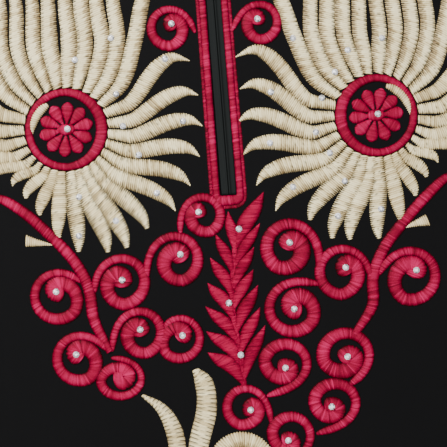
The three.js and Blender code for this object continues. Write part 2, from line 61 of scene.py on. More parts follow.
# ---- Sizes shared with the solid parts --------------------------------------------------------------
LAID_Y = 397.0  # from the foot of the slit to the middle of the garment
CLOTH = 1.2
GAP = 0.3
FRONT_Z = CLOTH + GAP
FRONT_TOP = FRONT_Z + CLOTH
CREST = 4.1  # top of the raised stitches
HEM_Y = -1106
HEM_RISE = 26
HEM_HALF = 438
NECK_Y = 312
NECK = {"half_width": 88, "front_drop": 90, "back_drop": 24, "binding": 7}
SHOULDER = (205, 278)
UNDERARM = (288, 40)
ARMHOLE_BEND = (206, 84)
SLEEVE = {"top_length": 600, "middle_length": 500, "droop": 38, "cuff": 175, "pillow": 2.4,
          "cuff_fold": 0.25, "edge_radius": 1.3, "thinner": 0.15}
SLIT = {"half": 4.5, "foot": 6.3, "margin": 0.4}

# ---- Sizes of what is added to the solid parts ------------------------------------------------------
# sag_top is where the hem's curve begins; thinner is how much less than the cloth a shell has.
PANEL = {"rows": 190, "neck_rows": 26, "columns": 64, "sag_top": -500, "hem_fold": 0.25,
         "thinner": 0.05}
STRIP = {"columns": 9, "power": 4.0}  # a binding's points across and how flat it is on top

# The stitches of the hem, the cuffs and the neck. They sink into the cloth by the sink.
DASH = {"apart": 0.6, "width": 0.5, "sink": 0.1, "height": 0.34, "neck_inset": 1.4, "neck_z": 3.0}

# The border's line and its narrow edge: how far outside the slit each runs and how low at its foot.
BORDER = {"line": (2.25, 0.9), "half": 2.2, "foot_swell": 0.9, "edge": (5.1, 2.1), "edge_half": 1.15,
          "corner": 1.2, "below_neck": 0.6}

# The zip tape's section, from its outer edge in: distance from the slit's middle and height.
TAPE_SECTION = [
    (4.5, 0.75), (3.6, 0.7), (2.6, 0.66), (1.9, 0.68), (1.45, 0.85), (1.1, 1.25),
    (0.75, 1.45), (0.4, 1.4), (0.2, 1.15), (0.15, 0.8), (0.15, 0.1),
]
TAPE_FLAT = 0.8  # the tape is rippled above this height
TAPE_RIPPLE = 0.03

# Half widths of both panels below the underarm.
SIDE = [
    (HEM_Y, 440), (-980, 421), (-840, 400), (-690, 376), (-540, 352),
    (-400, 331), (-280, 315), (-180, 303), (-90, 295), (-20, 290),
]

# Soft flutes of the skirt: x at the hem, the height each dies out at, lean, half width and lift.
FLUTES = [
    (-330, -420, 70, 46, 3.2), (-195, -300, 52, 40, 2.6), (-70, -560, 22, 38, 3.3),
    (82, -350, -20, 44, 2.4), (215, -250, -58, 42, 3.3), (345, -480, -66, 44, 2.9),
]

FLUTE_DEPTH = 2.3  # against the solid's own flutes
FLUTE_TAPER = 0.35  # how much narrower a flute is where it dies out

CREASE_WANDER = 6

# Soft folds and creases: both ends, half width and height. The chest's own lie clear of the stitches.
CHEST_CREASES = [
    ((282, 36), (176, -52), 15, 2.2), ((-284, 32), (-172, -66), 17, 2.6),
    ((286, -40), (150, -128), 13, 1.6), ((-288, -70), (-164, -176), 14, 2.0),
    ((196, 262), (178, 96), 12, 1.7), ((-196, 262), (-181, 104), 13, 2.0),
    ((256, -150), (122, -196), 12, 1.3), ((-120, 292), (-178, 214), 9, 1.1),
    ((124, 292), (170, 226), 9, 0.9),
]
SKIRT_CREASES = [
    ((250, -300), (40, -232), 17, 3.1), ((-268, -286), (-66, -352), 18, 3.6),
    ((300, -560), (176, -450), 16, 3.3), ((-318, -640), (-190, -560), 17, 3.9),
    ((-60, -860), (-6, -640), 15, 2.9), ((150, -820), (104, -640), 14, 2.4),
    ((20, -420), (-14, -300), 12, 1.9), ((-392, -960), (-340, -800), 14, 3.2),
    ((372, -900), (318, -760), 13, 2.6), ((240, -1010), (214, -880), 12, 2.1),
]
BACK_CREASES = [
    ((-270, 20), (-120, -80), 15, 0.5), ((262, 10), (150, -96), 14, 0.4),
    ((-40, -300), (30, -520), 16, 0.5), ((200, -700), (150, -520), 15, 0.4),
    ((-240, -760), (-170, -600), 15, 0.5), ((60, 210), (-70, 190), 12, 0.4),
]
SLEEVE_CREASES = [
    (250, 118, 392, 52, 13, 3.4), (296, 44, 402, 16, 11, 2.4), (396, -12, 492, -58, 13, 3.1),
    (462, 4, 566, -84, 14, 2.7), (322, 112, 474, 26, 14, 2.3), (520, -150, 604, -164, 11, 2.1),
    (560, -60, 640, -128, 13, 2), (236, 190, 300, 150, 11, 1.9),
]

# inner points to the slit; reach and droop have a column for each side petal, from the topmost down;
# first is the tip angle and arch of the topmost;
# apart lists where the black cloth shows beside each upper petal, as shares of its length; past is
# the petal tip that shows again beyond the vine.
FLOWERS = {
    "left": {
        "x": -94.5, "y": 53.2, "inner": 1, "turn": 0, "first": (26.2, 4), "spin": 10, "tongue": 58,
        "reach": [85, 82, 82, 82, 82, 82, 77, 80, 78, 74],
        "droop": [0, 0.3, 0.6, 0.9, 1.2, 1.1, 2.7, 2.6, -1.1, 0],
        "apart": [(0.57, 1), None, (0, 0.6), (0.56, 1), (0, 1)],
        "past": [(-124, -11.6), (-116.6, -13.4), (-108, -15.3)],
    },
    "right": {
        "x": 91.9, "y": 47.2, "inner": -1, "turn": 6, "first": (28.8, 4.6), "spin": 2, "tongue": 67,
        "reach": [91.5, 83.5, 83.5, 83.5, 83.5, 83.5, 74.5, 78.6, 76.5, 74.2],
        "droop": [0, 0, 0, 0, 0.2, 0, 0.9, 1.3, -3.1, -1.7],
        "apart": [(0, 1), (0.3, 1), (0, 0.58), (0.52, 1), (0, 1)],
        "past": [(118, -18), (111, -19.5), (102.7, -21.6)],
    },
}
OUTER_REACH = [65.4, 54, 48, 47, 55, 66, 76, 82, 82]  # of the petals on the far side, from the lowest up
RING = {"edge": 24.9, "width": 4.8, "inner": 2.4}
PETAL_ROOT = RING["edge"] + GAP

# How far a side petal has turned from its root to its tip, and how it arches, along its length.
PETAL_TURN = [0, 0, 0.02, 0.33, 0.66, 0.88, 0.98, 1, 1]
PETAL_ARCH = [0, -0.15, -0.2, 0.2, 0.65, 0.95, 1.07, 0.85, -0.4]
FLORET = {"petals": 10, "root": 3.6, "reach": 16.4, "half": 3.3, "disc": (5.6, 3.6)}
FLORET_SWELL = [0.2, 0.42, 0.68, 0.92, 1.1, 1.16, 0.98, 0.3]
CRESCENT = {"inner": 18.6, "outer": 20.6, "to": -4, "half": 2.7, "high": 5.1}
CRESCENT_SWELL = [0.5, 0.95, 1, 1, 0.9, 0.65, 0.1]

# Angles of a side petal's root and tip: the topmost one's, and what its number and the number's square
# add. spread turns the far half's petals down, and from the length run on a petal has its full width.
SIDE_PETAL = {"root": (18, -14.8, 0.33), "tip": (24.5, -13.1, 0.06), "spread": 5, "arch": 2.9,
              "run": 57}
EARLY_PETALS = 6  # the side petals above the vines
EARLY_SWELL = [0.9, 0.99, 1, 0.93, 0.68, 0.06]
LATE_SWELL = [0.6, 0.82, 0.98, 1.08, 1.12, 1.02, 0.78, 0.28]
UPPER_PETAL = {"number": 5, "root": 83.5, "step": 13.3, "lane": 9.7, "outermost_half": 5.5}

# Where an upper petal bends: x from its lane, y, and how much lower each petal's bend is than the last.
UPPER_BENDS = [(1, 50, 0), (0, 76, 0), (2, 120, 5)]
OUTERMOST_BENDS = [(1.5, 50, 0), (9, 76, 0), (22, 120, 5)]
UPPER_SWELL = [0.62, 0.8, 0.97, 1, 1, 0.95, 0.7, 0.08]
CLOTH_GAP = {"depth": 0.62, "ease": 0.06}

# Scrolls: centre, radius, eye, start and hand, which is 1 where it turns left on its way in; stout
# widens its band, flat squashes it from above and bulb swells its eye.
Scroll = namedtuple("Scroll", "x y radius eye start hand stout flat bulb", defaults=(1, 1, 1))
SCROLLS = {
    "left_1": Scroll(-27.8, 109.4, 10.6, (-26.5, 111.5), (-12.6, 105), 1, 1.12),
    "left_2": Scroll(-17, -4.5, 10.5, (-19, -2.5), (-31, -15), -1, 1.16),
    "left_3": Scroll(-35.5, -29.5, 13.3, (-32, -27), (-53.6, -42), -1),
    "left_4": Scroll(-68.5, -40.5, 13.3, (-68, -39.5), (-85, -46), -1, 1.04),
    "left_5": Scroll(-60, -72, 12.4, (-59.5, -70), (-77.4, -82), -1, 1.04),
    "left_6": Scroll(-36.4, -77.2, 11.6, (-34.5, -75.5), (-45.7, -72), -1, 1.02),
    "left_7": Scroll(-97.5, -84.5, 12.8, (-99, -82), (-79, -82), 1, 1.06),
    "left_8": Scroll(-73.4, -98.8, 11.8, (-72.6, -98.6), (-78.4, -85.9), -1, 0.94, 0.84, 1.3),
    "left_9": Scroll(-107.6, -46.3, 13.2, (-108, -43.5), (-93, -39), 1),
    "right_1": Scroll(26.5, 108.6, 10.2, (25.2, 110.3), (9.4, 104.5), -1, 1.14),
    "right_2": Scroll(34.5, -28, 13.9, (34, -25), (50.5, -54), 1, 1.1),
    "right_3": Scroll(64.4, -45, 13.2, (66.4, -42.5), (81.5, -53), 1),
    "right_4": Scroll(32.8, -64.4, 13.6, (33.6, -65), (50, -51.4), 1, 1.08),
    "right_5": Scroll(26, -97.6, 12.4, (25.6, -99.8), (13.2, -116), 1, 1.14, 0.93),
    "right_6": Scroll(62.6, -94.8, 13.3, (63.3, -96), (62.8, -113.4), 1, 1.14, 0.93),
    "right_7": Scroll(53.7, -123.4, 12.2, (51.5, -125.2), (41, -141), 1, 1.15, 0.92),
    "right_8": Scroll(0, -121.5, 10.8, (2.8, -123.3), (14.8, -133.6), 1, 1.12),
    "right_9": Scroll(25.9, -141, 11.2, (23.9, -143.4), (13.4, -157), 1, 1.14),
    "right_10": Scroll(105.3, -50.5, 14, (108.5, -47.5), (85.6, -49), -1),
}

# Degrees a scroll turns in all, the share of them after which it winds in and how, and how soon it
# forgets its start. Its half widths and its eye's are for the named radius, and it starts thin.
SCROLL = {"turn": 490, "tighten": 0.58, "draw": 1.15, "lead": 40, "swell": 1.04, "radius": 13,
          "taper": 0.05, "thin": 0.3}
SCROLL_HALF = [2.3, 2.55, 2.85, 3.2, 3.65, 3.85, 4.5, 5.3, 6.1]
SCROLL_EYE = [(0.8, 6.2), (1.6, 6), (2.4, 5.6), (3.2, 4.9), (4, 3.8), (4.7, 1.3)]
VINES = {
    "left": [(-151, 16.5), (-137, 14.4), (-124.6, 6), (-113.8, -4.6), (-97, -24.6), (-88.8, -42),
             (-86.8, -62), (-78.6, -82)],
    "right": [(145, 9.5), (131, 6.4), (118.7, -3.1), (105.3, -16), (90, -33.4), (82.4, -50),
              (80.9, -66), (68.9, -83)],
}
VINE_HALF = [0.6, 2.8, 3.4, 3.5, 3.6, 3.7, 3.5, 2.4]
STEM = [(-0.1, -109), (-0.5, -90), (-3, -69), (-2.8, -50), (-0.4, -36), (1.6, -21)]
STEM_HALF = (1.9, 1.8)

# Leaves of the spray: height on the stem, reach to the side, rise, half width and bow.
LEAVES = [
    (-107, -20, 19.9, 4.6, 2.8), (-96.4, -19.6, 22, 4.3, 2.8), (-82.9, -18, 23.5, 3.9, 1.9),
    (-68.4, -14, 23, 4.1, 1.7), (-54.4, -11.4, 24, 3.7, 1.3), (-41, -8.6, 24.5, 3.4, 0.8),
    (-28, -2, 24.5, 3.4, 0.4), (-105.5, 15.6, 32, 3.8, 1.4), (-89, 13.8, 26.5, 3.7, 1),
    (-76, 15.2, 27, 3.9, 1.1), (-62, 13.8, 22.5, 3.6, 0.8), (-51, 15.3, 25, 3.5, 1),
    (-37, 17.7, 25, 3.3, 0.6), (-26, 19.8, 32.5, 4.7, 0.8),
]
LEAF_SHAPE = [0.3, 0.62, 0.98, 1.14, 1, 0.6, 0.05]
BLADES = {
    "blade_left": ([(-61.5, -109.5), (-50.4, -118.7), (-44.2, -132), (-42.8, -150), (-45, -178)],
                   [0.9, 3.1, 4.7, 5.3, 4.3, 1.4]),
    "blade_right": ([(-28.6, -96.5), (-23.8, -105.5), (-23.6, -121), (-30, -142), (-37, -176)],
                    [1.9, 5.3, 6, 6.3, 5.6, 1.5]),
}
ROSETTE = {"x": -5, "y": -156.5, "radius": 20.5, "eye": 10.5}

# How fine the stitches are and how deep the valleys between them, with their painted shade, against the
# plain cream stitch.
SATIN = (1.9, 0.34)
FILL = (1.8, 0.4)
SLITTED = (1.7, 0.8)
PETAL_FINENESS = 1.1

# How the stitches of each kind of stroke differ from the plain ones of Stitching.stroke.
SIDE_STITCHES = {"columns": 11, "slant": 0.16, "tone": 0.74, "spread": 0.15, "slits": (2, 0.18, 0.7)}
STITCHES = {
    "side_petal": {**SIDE_STITCHES, "edge_marks": (0.3, 0.15), "splits": 0.05},
    "late_petal": {**SIDE_STITCHES, "edge_marks": (1, 0.3), "splits": 0.16},
    "outer_petal": {"tone": 0.6, "spread": 0.13, "edge_marks": (0.6, 0.2), "splits": 0.14},
    "petal_tip": {"tone": 0.62},
    "upper_petal": {"columns": 13, "notch": 0.5, "tone": 0.86, "spread": 0.12,
                    "edge_marks": (0.35, 0.2), "slits": (2, 0.2, 0.75), "splits": 0.04},
    "ring": {"rim": 0.4, "edge_marks": (0.15, 0.1)},
    "floret": {"high": CREST - 0.1, "slant": 0, "tone": 0.55, "spread": 0.1, "edge_marks": (0.2, 0.1)},
    "floret_disc": {"slant": 0},
    "crescent": {"high": CRESCENT["high"], "power": 2.2, "tone": 0.65},
    "scroll": {"tone": 0.58, "spread": 0.13, "rim": 0.7, "edge_marks": (0.2, 0.14)},
    "vine": {"tone": 0.54, "spread": 0.13, "rim": 0.65, "edge_marks": (0.2, 0.14)},
    "leaf": {"power": 3.2, "tone": 0.6, "spread": 0.12, "rim": 0.7, "edge_marks": (1, 0.07),
             "speckle": 0.1},
    "stem": {"power": 2.6, "tone": 0.6, "spread": 0.12, "speckle": 0.1},
    "blade": {"columns": 13, "slant": -0.1, "tone": 0.66, "spread": 0.13, "edge_marks": (0.3, 0.1),
              "slits": (3, 0.36, 1), "speckle": 0.02},
    "rosette": {"tone": 0.6, "spread": 0.12, "comb": -0.8, "edge_marks": (0.25, 0.1)},
    "border": {"notch": 0.5, "tone": 0.55, "spread": 0.13, "edge_marks": (0.3, 0.1)},
    "border_edge": {"high": CREST - 0.4, "columns": 7, "notch": 0.5, "tone": 0.38, "spread": 0.14,
                    "edge_marks": (0.55, 0.4)},
}

# How much darker a side petal's lower side is, as painted shade, and the side of an upper petal
# that faces the slit.
SIDE_PETAL_SHADE = 0.5
UPPER_COMB = 1.15

# Slants that are mirrored with the flower or the leaf.
UPPER_SLANT = 0.25
LEAF_SLANT = 0.55

# Stones set on the petals, the flowers' centres and the leaf spray. The scrolls' eyes have one each
# too, apart from the bare ones.
PETAL_STONES = [
    (-32, 90.7), (-62.9, 72.1), (-60.3, 52.6), (-24.1, 52.8), (-52.1, 34.5), (-85.9, 94.3),
    (-63.3, 105.8), (-43.1, 10.9), (-89.9, 12.2), (-91.8, -11.1), (-68.9, -3.9), (29.9, 66),
    (60.1, 60), (54.9, 39.9), (26.9, 35.5), (62.3, 26.7), (38.6, 8.1), (77.9, 87.5), (98.8, 93),
    (69.9, 9.2), (64.1, -11.4), (90.2, -9.2), (69.1, 74.9), (45.6, 97.2),
]
MIDDLE_STONES = [(-93.6, 53.4), (92.8, 47.8), (4.3, -14.5), (-5.2, -58.3), (-0.5, -89.9)]
BARE_EYES = {"left_8"}

# table, inset and raise are shares of a stone's radius, crown and girdle of its height; tilt is the
# steepest slope it is set at, petal_sink and eye_sink how deep it sits in the stitches. The dimmest
# glint is the least painted reflection a facet gets.
STONE = {"sides": 8, "table": 0.52, "crown": 0.72, "girdle": 0.28, "inset": 0.16, "raise": 0.05,
         "tilt": 0.07, "petal_sink": 0.2, "eye_sink": 0.1, "dimmest_glint": 0.1,
         "side_slope": 0.1, "seed": 7}
UPRIGHT = 0.9  # how far up or down a level face's normal points at least


# ---- Settings ---------------------------------------------------------------------------------------
def colour_setting(name, description, default):
    return bpy.props.FloatVectorProperty(
        name=name, description=description, subtype="COLOR", size=3, min=0, max=1, default=default)


def length_setting(name, description, default, least, most):
    return bpy.props.FloatProperty(
        name=name, description=description, unit="LENGTH", default=default, min=least, max=most)


def power_setting(name, description, default):
    return bpy.props.FloatProperty(
        name=name, description=description, unit="POWER", default=default, min=0, max=500)


class AbayaCloth(bpy.types.PropertyGroup):
    crepe: colour_setting("Crepe", "Colour of the garment's cloth", (0.0024, 0.0023, 0.00245))
    # the tape's own dark grey-green, lighter than the crepe partly as painted sheen
    tape: colour_setting("Zip tape", "Colour of the zip's tapes", (0.005, 0.006, 0.0057))
    hem_depth: length_setting("Hem depth", "Depth of the turned hem", 0.02, 0.005, 0.06)
    cuff_depth: length_setting("Cuff depth", "Depth of the turned cuff", 0.016, 0.005, 0.06)
    stitch_length: length_setting(
        "Stitch length", "Length of a stitch in the hems", 0.0028, 0.001, 0.01)


class AbayaEmbroidery(bpy.types.PropertyGroup):
    crimson: colour_setting("Crimson", "Colour of the crimson thread", (0.25, 0.0012, 0.026))
    cream: colour_setting("Cream", "Colour of the cream thread", (0.585, 0.455, 0.22))
    bronze: colour_setting("Bronze", "Colour of the golden brown thread", (0.27, 0.13, 0.035))
    pitch: length_setting(
        "Stitch pitch", "Distance between two stitches of the plainest rows", 0.00135, 0.0004, 0.002)
    rib: length_setting("Rib", "Depth of the valley between two stitches", 0.00034, 0, 0.0008)


class AbayaTrim(bpy.types.PropertyGroup):
    stone_radius: length_setting("Stone radius", "Radius of each rhinestone", 0.002, 0.001, 0.004)
    stone_height: length_setting("Stone height", "Height of each rhinestone", 0.0011, 0.0004, 0.003)
    enamel: colour_setting("Enamel", "Colour of the zip's slider and pull tab", (0.02, 0.02, 0.022))


class AbayaStage(bpy.types.PropertyGroup):
    floor: colour_setting("Floor", "Colour of the floor", (0.82, 0.81, 0.79))
    soft_light: power_setting("Soft light", "Power of the overhead light", 25)
    key_light: power_setting("Key light", "Power of the light from the upper left", 26)
    skirt_light: power_setting("Skirt light", "Power of the low light across the skirt's folds", 30)


# ---- Looks ------------------------------------------------------------------------------------------
# A thread's light and dark are its colours at the top and the foot of its tone, so they give both its
# stitches' own tones and the painted shade and painted highlight of their domes and valleys.
Thread = namedtuple("Thread", "name slot light dark specular roughness", defaults=(0.45,))
THREADS = {
    "crimson": Thread("Crimson thread", "crimson_thread", (0.54, 0.012, 0.098),
                      (0.06, 0.0002, 0.004), 0.05),
    "leaf": Thread("Crimson fill stitch", "crimson_thread", (0.46, 0.007, 0.06),
                   (0.07, 0.0003, 0.004), 0.04, 0.6),
    "cream": Thread("Cream thread", "cream_thread", (0.97, 0.85, 0.5), (0.15, 0.085, 0.027), 0.2),
    "bronze": Thread("Golden brown thread", "bronze_thread", (0.5, 0.32, 0.12),
                     (0.1, 0.045, 0.012), 0.15),
}
THREAD_FIBRES = (0.6, 9.0, 1.0)  # noise cells a millimetre along and across a stitch
LEAF_SHADE = 0.94  # of the crimson thread's colour
GROUND_SHADE = 1.5  # of the cloth's colour, where it shows between stitches
SEAM_SHADE = 2.5
BARE_METAL = (0.23, 0.22, 0.21)
# Painted reflections of the stones' facets: the dark one, and the cool and warm whites of the glints.
STONE_DARK_REFLECTION = (0.16, 0.17, 0.2)
STONE_COOL_GLINT = (0.95, 0.97, 1.0)
STONE_WARM_GLINT = (1.0, 0.96, 0.96)


def scaled(color, factor):
    return tuple(c * factor for c in color)


class Signal:
    """A shader value: arithmetic on it adds the Math nodes that work it out."""

    def __init__(self, look, socket):
        self.look = look
        self.socket = socket

    def math(self, operation, *others, flipped=False):
        terms = [self, *others]
        if flipped:
            terms.reverse()
        made = self.look.node("ShaderNodeMath", {"operation": operation}, dict(enumerate(terms)))
        return Signal(self.look, made.outputs[0])

    def __add__(self, other):
        return self.math("ADD", other)

    def __radd__(self, other):
        return self.math("ADD", other)

    def __sub__(self, other):
        return self.math("SUBTRACT", other)

    def __rsub__(self, other):
        return self.math("SUBTRACT", other, flipped=True)

    def __mul__(self, other):
        return self.math("MULTIPLY", other)

    def __rmul__(self, other):
        return self.math("MULTIPLY", other)

    def clamp(self):
        return self.math("MINIMUM", 1.0).math("MAXIMUM", 0.0)


class Look:
    """A procedural material on one Principled shader."""

    def __init__(self, name, **constants):
        self.material = bpy.data.materials.new(name)
        self.material.use_nodes = True
        self.tree = self.material.node_tree
        self.tree.nodes.clear()
        named = {key.replace("_", " ").title().replace("Ior", "IOR"): v for key, v in constants.items()}
        self.shader = self.node("ShaderNodeBsdfPrincipled", {}, named)
        self.node("ShaderNodeOutputMaterial", {}, {"Surface": self.shader.outputs[0]})

    def node(self, kind, settings=None, inputs=None):
        made = self.tree.nodes.new(kind)
        for key, value in (settings or {}).items():
            setattr(made, key, value)
        for key, value in (inputs or {}).items():
            self.feed(made.inputs[key], value)
        return made

    def feed(self, socket, value):
        if isinstance(value, Signal):
            value = value.socket
        if isinstance(value, bpy.types.NodeSocket):
            self.tree.links.new(value, socket)
        elif socket.type == "RGBA" and len(value) == 3:
            socket.default_value = (*value, 1)
        else:
            socket.default_value = value

    def place(self):
        return self.node("ShaderNodeTexCoord").outputs["Object"]

    def attribute(self, name):
        return Signal(self, self.node("ShaderNodeAttribute", {"attribute_name": name}).outputs["Fac"])

    def noise(self, scale, detail, vector=None):
        made = self.node("ShaderNodeTexNoise", {}, {
            "Vector": vector or self.place(), "Scale": scale, "Detail": detail, "Roughness": 0.6})
        return Signal(self, made.outputs[0])

    def wave(self, direction, scale, distortion):
        made = self.node("ShaderNodeTexWave", {"bands_direction": direction}, {
            "Vector": self.place(), "Scale": scale, "Distortion": distortion})
        return Signal(self, made.outputs[1])

    def stretched(self, vector, scale):
        return self.node("ShaderNodeMapping", {}, {"Vector": vector, "Scale": scale}).outputs[0]

    def mix(self, factor, a, b):
        made = self.node("ShaderNodeMix", {"data_type": "RGBA"}, {0: factor, 6: a, 7: b})
        return made.outputs[2]

    def bump(self, height, distance, strength):
        made = self.node("ShaderNodeBump", {}, {
            "Height": height, "Distance": distance, "Strength": strength})
        self.feed(self.shader.inputs["Normal"], made.outputs[0])

    def set(self, name, value):
        self.feed(self.shader.inputs[name], value)


def thread_look(thread, color, ground):
    """Shiny embroidery thread: each stitch has its own tone, with painted shade and highlight in it, and
    the ground shows in its gaps.
    """
    look = Look(thread.name, specular_ior_level=thread.specular)
    tone = look.attribute("tone")
    gap = look.attribute("gap")
    grain = look.noise(scale=1600, detail=2)
    level = (tone + (grain - 0.5) * 0.35).clamp()
    low = look.mix((level * 2).clamp(), thread.dark, color)
    body = look.mix((level * 2 - 1).clamp(), low, thread.light)
    look.set("Base Color", look.mix(gap, body, ground))
    look.set("Roughness", gap * 0.4 + thread.roughness + (grain - 0.5) * 0.12)
    uv = look.node("ShaderNodeUVMap", {"uv_map": "Stitch"}).outputs[0]
    fibres = look.noise(scale=1.0, detail=2, vector=look.stretched(uv, THREAD_FIBRES))
    look.bump(fibres, distance=0.00006, strength=0.6)
    return look.material


def crepe_look(name, color):
    """Crepe cloth: a pebbled matt face over a fine weave."""
    look = Look(name, specular_ior_level=0.045)
    pebble = look.noise(scale=1500, detail=3)
    cloud = look.noise(scale=9, detail=3)
    warp = look.wave("X", scale=520.0, distortion=0.4)
    weft = look.wave("Y", scale=520.0, distortion=0.4)
    weave = warp * weft
    shade = (pebble * 0.5 + cloud * 0.5 + weave * 0.15 - 0.15).clamp()
    look.set("Base Color", look.mix(shade, color, scaled(color, 1.9)))
    look.set("Roughness", pebble * 0.2 + 0.46)
    look.bump(pebble * 0.7 + weave * 0.5, distance=0.00012, strength=0.7)
    return look.material


def tape_look(name, color):
    """Woven zip tape with a slanting twill."""
    look = Look(name, specular_ior_level=0.1)
    twill = look.wave("DIAGONAL", scale=420.0, distortion=0.6)
    grain = look.noise(scale=900, detail=3)
    shade = (twill * 0.5 + grain * 0.5).clamp()
    look.set("Base Color", look.mix(shade, color, scaled(color, 2.2)))
    look.set("Roughness", grain * 0.2 + 0.6)
    look.bump(twill, distance=0.0001, strength=0.8)
    return look.material


def enamel_look(name, color):
    """Enamelled metal, worn to the metal here and there."""
    look = Look(name, coat_weight=0.4, coat_roughness=0.2)
    wear = look.noise(scale=700, detail=4)
    worn = (wear * 6 - 3.9).clamp()
    look.set("Base Color", look.mix(worn, color, BARE_METAL))
    look.set("Metallic", worn * 0.7 + 0.3)
    look.set("Roughness", look.noise(scale=2200, detail=2) * 0.2 + 0.24)
    look.bump(wear, distance=0.00002, strength=0.4)
    return look.material


def stone_look(name):
    """Crystal silvered behind: each facet's colour is a painted reflection, from dark to a cool or warm
    white by its own tone.
    """
    look = Look(name, specular_ior_level=0.8, coat_weight=0.6, coat_roughness=0.04)
    painted_glint = look.attribute("tone")
    glint_tint = look.noise(scale=1400, detail=1)
    # painted reflection: dark where a facet's tone is low, a cool or warm white glint where it is high
    look.set("Base Color", look.mix(painted_glint, STONE_DARK_REFLECTION, look.mix(glint_tint, STONE_COOL_GLINT, STONE_WARM_GLINT)))
    look.set("Metallic", painted_glint * -0.8 + 0.8)
    look.set("Roughness", painted_glint * 0.1 + 0.08)
    return look.material


def floor_look(name, color):
    look = Look(name, specular_ior_level=0.2)
    cloud = look.noise(scale=3, detail=3)
    look.set("Base Color", look.mix(cloud, scaled(color, 0.96), color))
    look.set("Roughness", cloud * 0.1 + 0.75)
    return look.material


# ---- Shapes -----------------------------------------------------------------------------------------
def polar(radius, degrees):
    return radius * np.cos(np.radians(degrees)), radius * np.sin(np.radians(degrees))


def paired(*parts):
    """Joins arrays of x and y, or of x, y and z, to points."""
    return np.stack(parts, axis=-1)


def step_lengths(path):
    return np.hypot(*np.diff(path, axis=0).T)


def distances(path):
    """How far along a path each of its points lies."""
    return np.concatenate([[0], np.cumsum(step_lengths(path))])


def side_name(mirror):
    return "right" if mirror > 0 else "left"


def along(stops, share):
    """The values at shares from 0 to 1 of a list of evenly spaced stops."""
    share = np.clip(np.asarray(share, float), 0, 1)
    return np.interp(share * (len(stops) - 1), np.arange(len(stops)), stops)


def eased(stops, share):
    """As along, but rounded at the stops."""
    at = np.clip(np.asarray(share, float), 0, 1) * (len(stops) - 1)
    values = np.asarray(stops, float)
    slopes = np.gradient(values)
    i = np.minimum(at.astype(int), len(values) - 2)
    t = at - i
    h = t * t * (3 - 2 * t)
    hermite = (t**3 - 2 * t * t + t) * slopes[i] + (t**3 - t * t) * slopes[i + 1]
    return values[i] * (1 - h) + values[i + 1] * h + hermite


def curve_through(points, steps):
    """A smooth line of steps + 1 points through the given ones, closer where they are close."""
    p = np.asarray(points, float)
    p = np.vstack([2 * p[0] - p[1], p, 2 * p[-1] - p[-2]])
    out = []
    for share in np.linspace(0, len(points) - 1, steps + 1):
        i = min(int(share), len(points) - 2)
        t = share - i
        p0, p1, p2, p3 = p[i:i + 4]
        d0, d1, d2 = (max(np.linalg.norm(b - a), 1e-4) ** 0.5 for a, b in ((p0, p1), (p1, p2), (p2, p3)))
        m1 = ((p1 - p0) / d0 - (p2 - p0) / (d0 + d1) + (p2 - p1) / d1) * d1
        m2 = ((p2 - p1) / d1 - (p3 - p1) / (d1 + d2) + (p3 - p2) / d2) * d1
        out.append((2 * t**3 - 3 * t**2 + 1) * p1 + (t**3 - 2 * t**2 + t) * m1
                   + (3 * t**2 - 2 * t**3) * p2 + (t**3 - t**2) * m2)
    return np.array(out)


def armhole(share):
    """The armhole from the underarm up to the shoulder, on the line of the solid parts."""
    t = np.linspace(0, 1, 7)[:, None]
    a, b, c = np.array(UNDERARM), np.array(ARMHOLE_BEND), np.array(SHOULDER)
    line = (1 - t) ** 2 * a + 2 * t * (1 - t) * b + t * t * c
    return along(line[:, 0], share), along(line[:, 1], share)


def outline_half(y):
    """Half width of the body panels at each height."""
    hole_x, hole_y = armhole(np.linspace(0, 1, 7))
    neck = NECK["half_width"] + 12
    rows = [*SIDE, *zip(hole_y, hole_x - GAP / 2),
            ((SHOULDER[1] + NECK_Y) / 2, (SHOULDER[0] + neck) / 2), (NECK_Y, neck)]
    ys, halves = zip(*rows)
    return np.interp(y, ys, halves)


def flute_lift(x, y):
    """How far the flutes raise the front of the skirt, as on the solid."""
    lift = np.zeros(np.broadcast(x, y).shape)
    for foot, top, lean, half, height in FLUTES:
        rise = (y - HEM_Y) / (top - HEM_Y)
        off = (x - foot - lean * rise) / (half * (1 - FLUTE_TAPER * rise))
        bell = height * (1 - rise * rise) * np.cos(np.clip(off, -1, 1) * math.pi / 2) ** 2
        lift += np.where((rise <= 1) & (np.abs(off) <= 1), bell, 0)
    return lift


def crease_lift(x, y, creases):
    """How far creases raise the cloth; each wanders a little and widens from its first end."""
    lift = np.zeros(np.broadcast(x, y).shape)
    for (x0, y0), (x1, y1), half, height in creases:
        dx, dy = x1 - x0, y1 - y0
        length = math.hypot(dx, dy)
        share = ((x - x0) * dx + (y - y0) * dy) / length**2
        wave = CREASE_WANDER * np.sin(share * 5 + x0)
        off = ((x - x0) * dy - (y - y0) * dx) / length + wave
        body = np.clip(1 - np.abs(2 * share - 1) ** 2.5, 0, 1)
        bell = np.clip(1 - (off / (half * (0.6 + 0.6 * share))) ** 2, 0, 1) ** 2
        lift += height * body * bell
    return lift


def grid_faces(rows, columns, wrap_rows=False, wrap_columns=False, start=0):
    """Quads of a grid of points listed row by row."""
    r = np.arange(rows if wrap_rows else rows - 1)[:, None]
    c = np.arange(columns if wrap_columns else columns - 1)[None, :]
    r1 = (r + 1) % rows
    c1 = (c + 1) % columns
    quads = paired(r * columns + c, r * columns + c1, r1 * columns + c1, r1 * columns + c)
    return quads.reshape(-1, 4) + start


def capped(quads, rows, columns, start=0):
    """The faces of a closed tube with an end cap on its first and its last row."""
    last = start + (rows - 1) * columns
    return [*quads, [start + c for c in range(columns)][::-1], [last + c for c in range(columns)]]


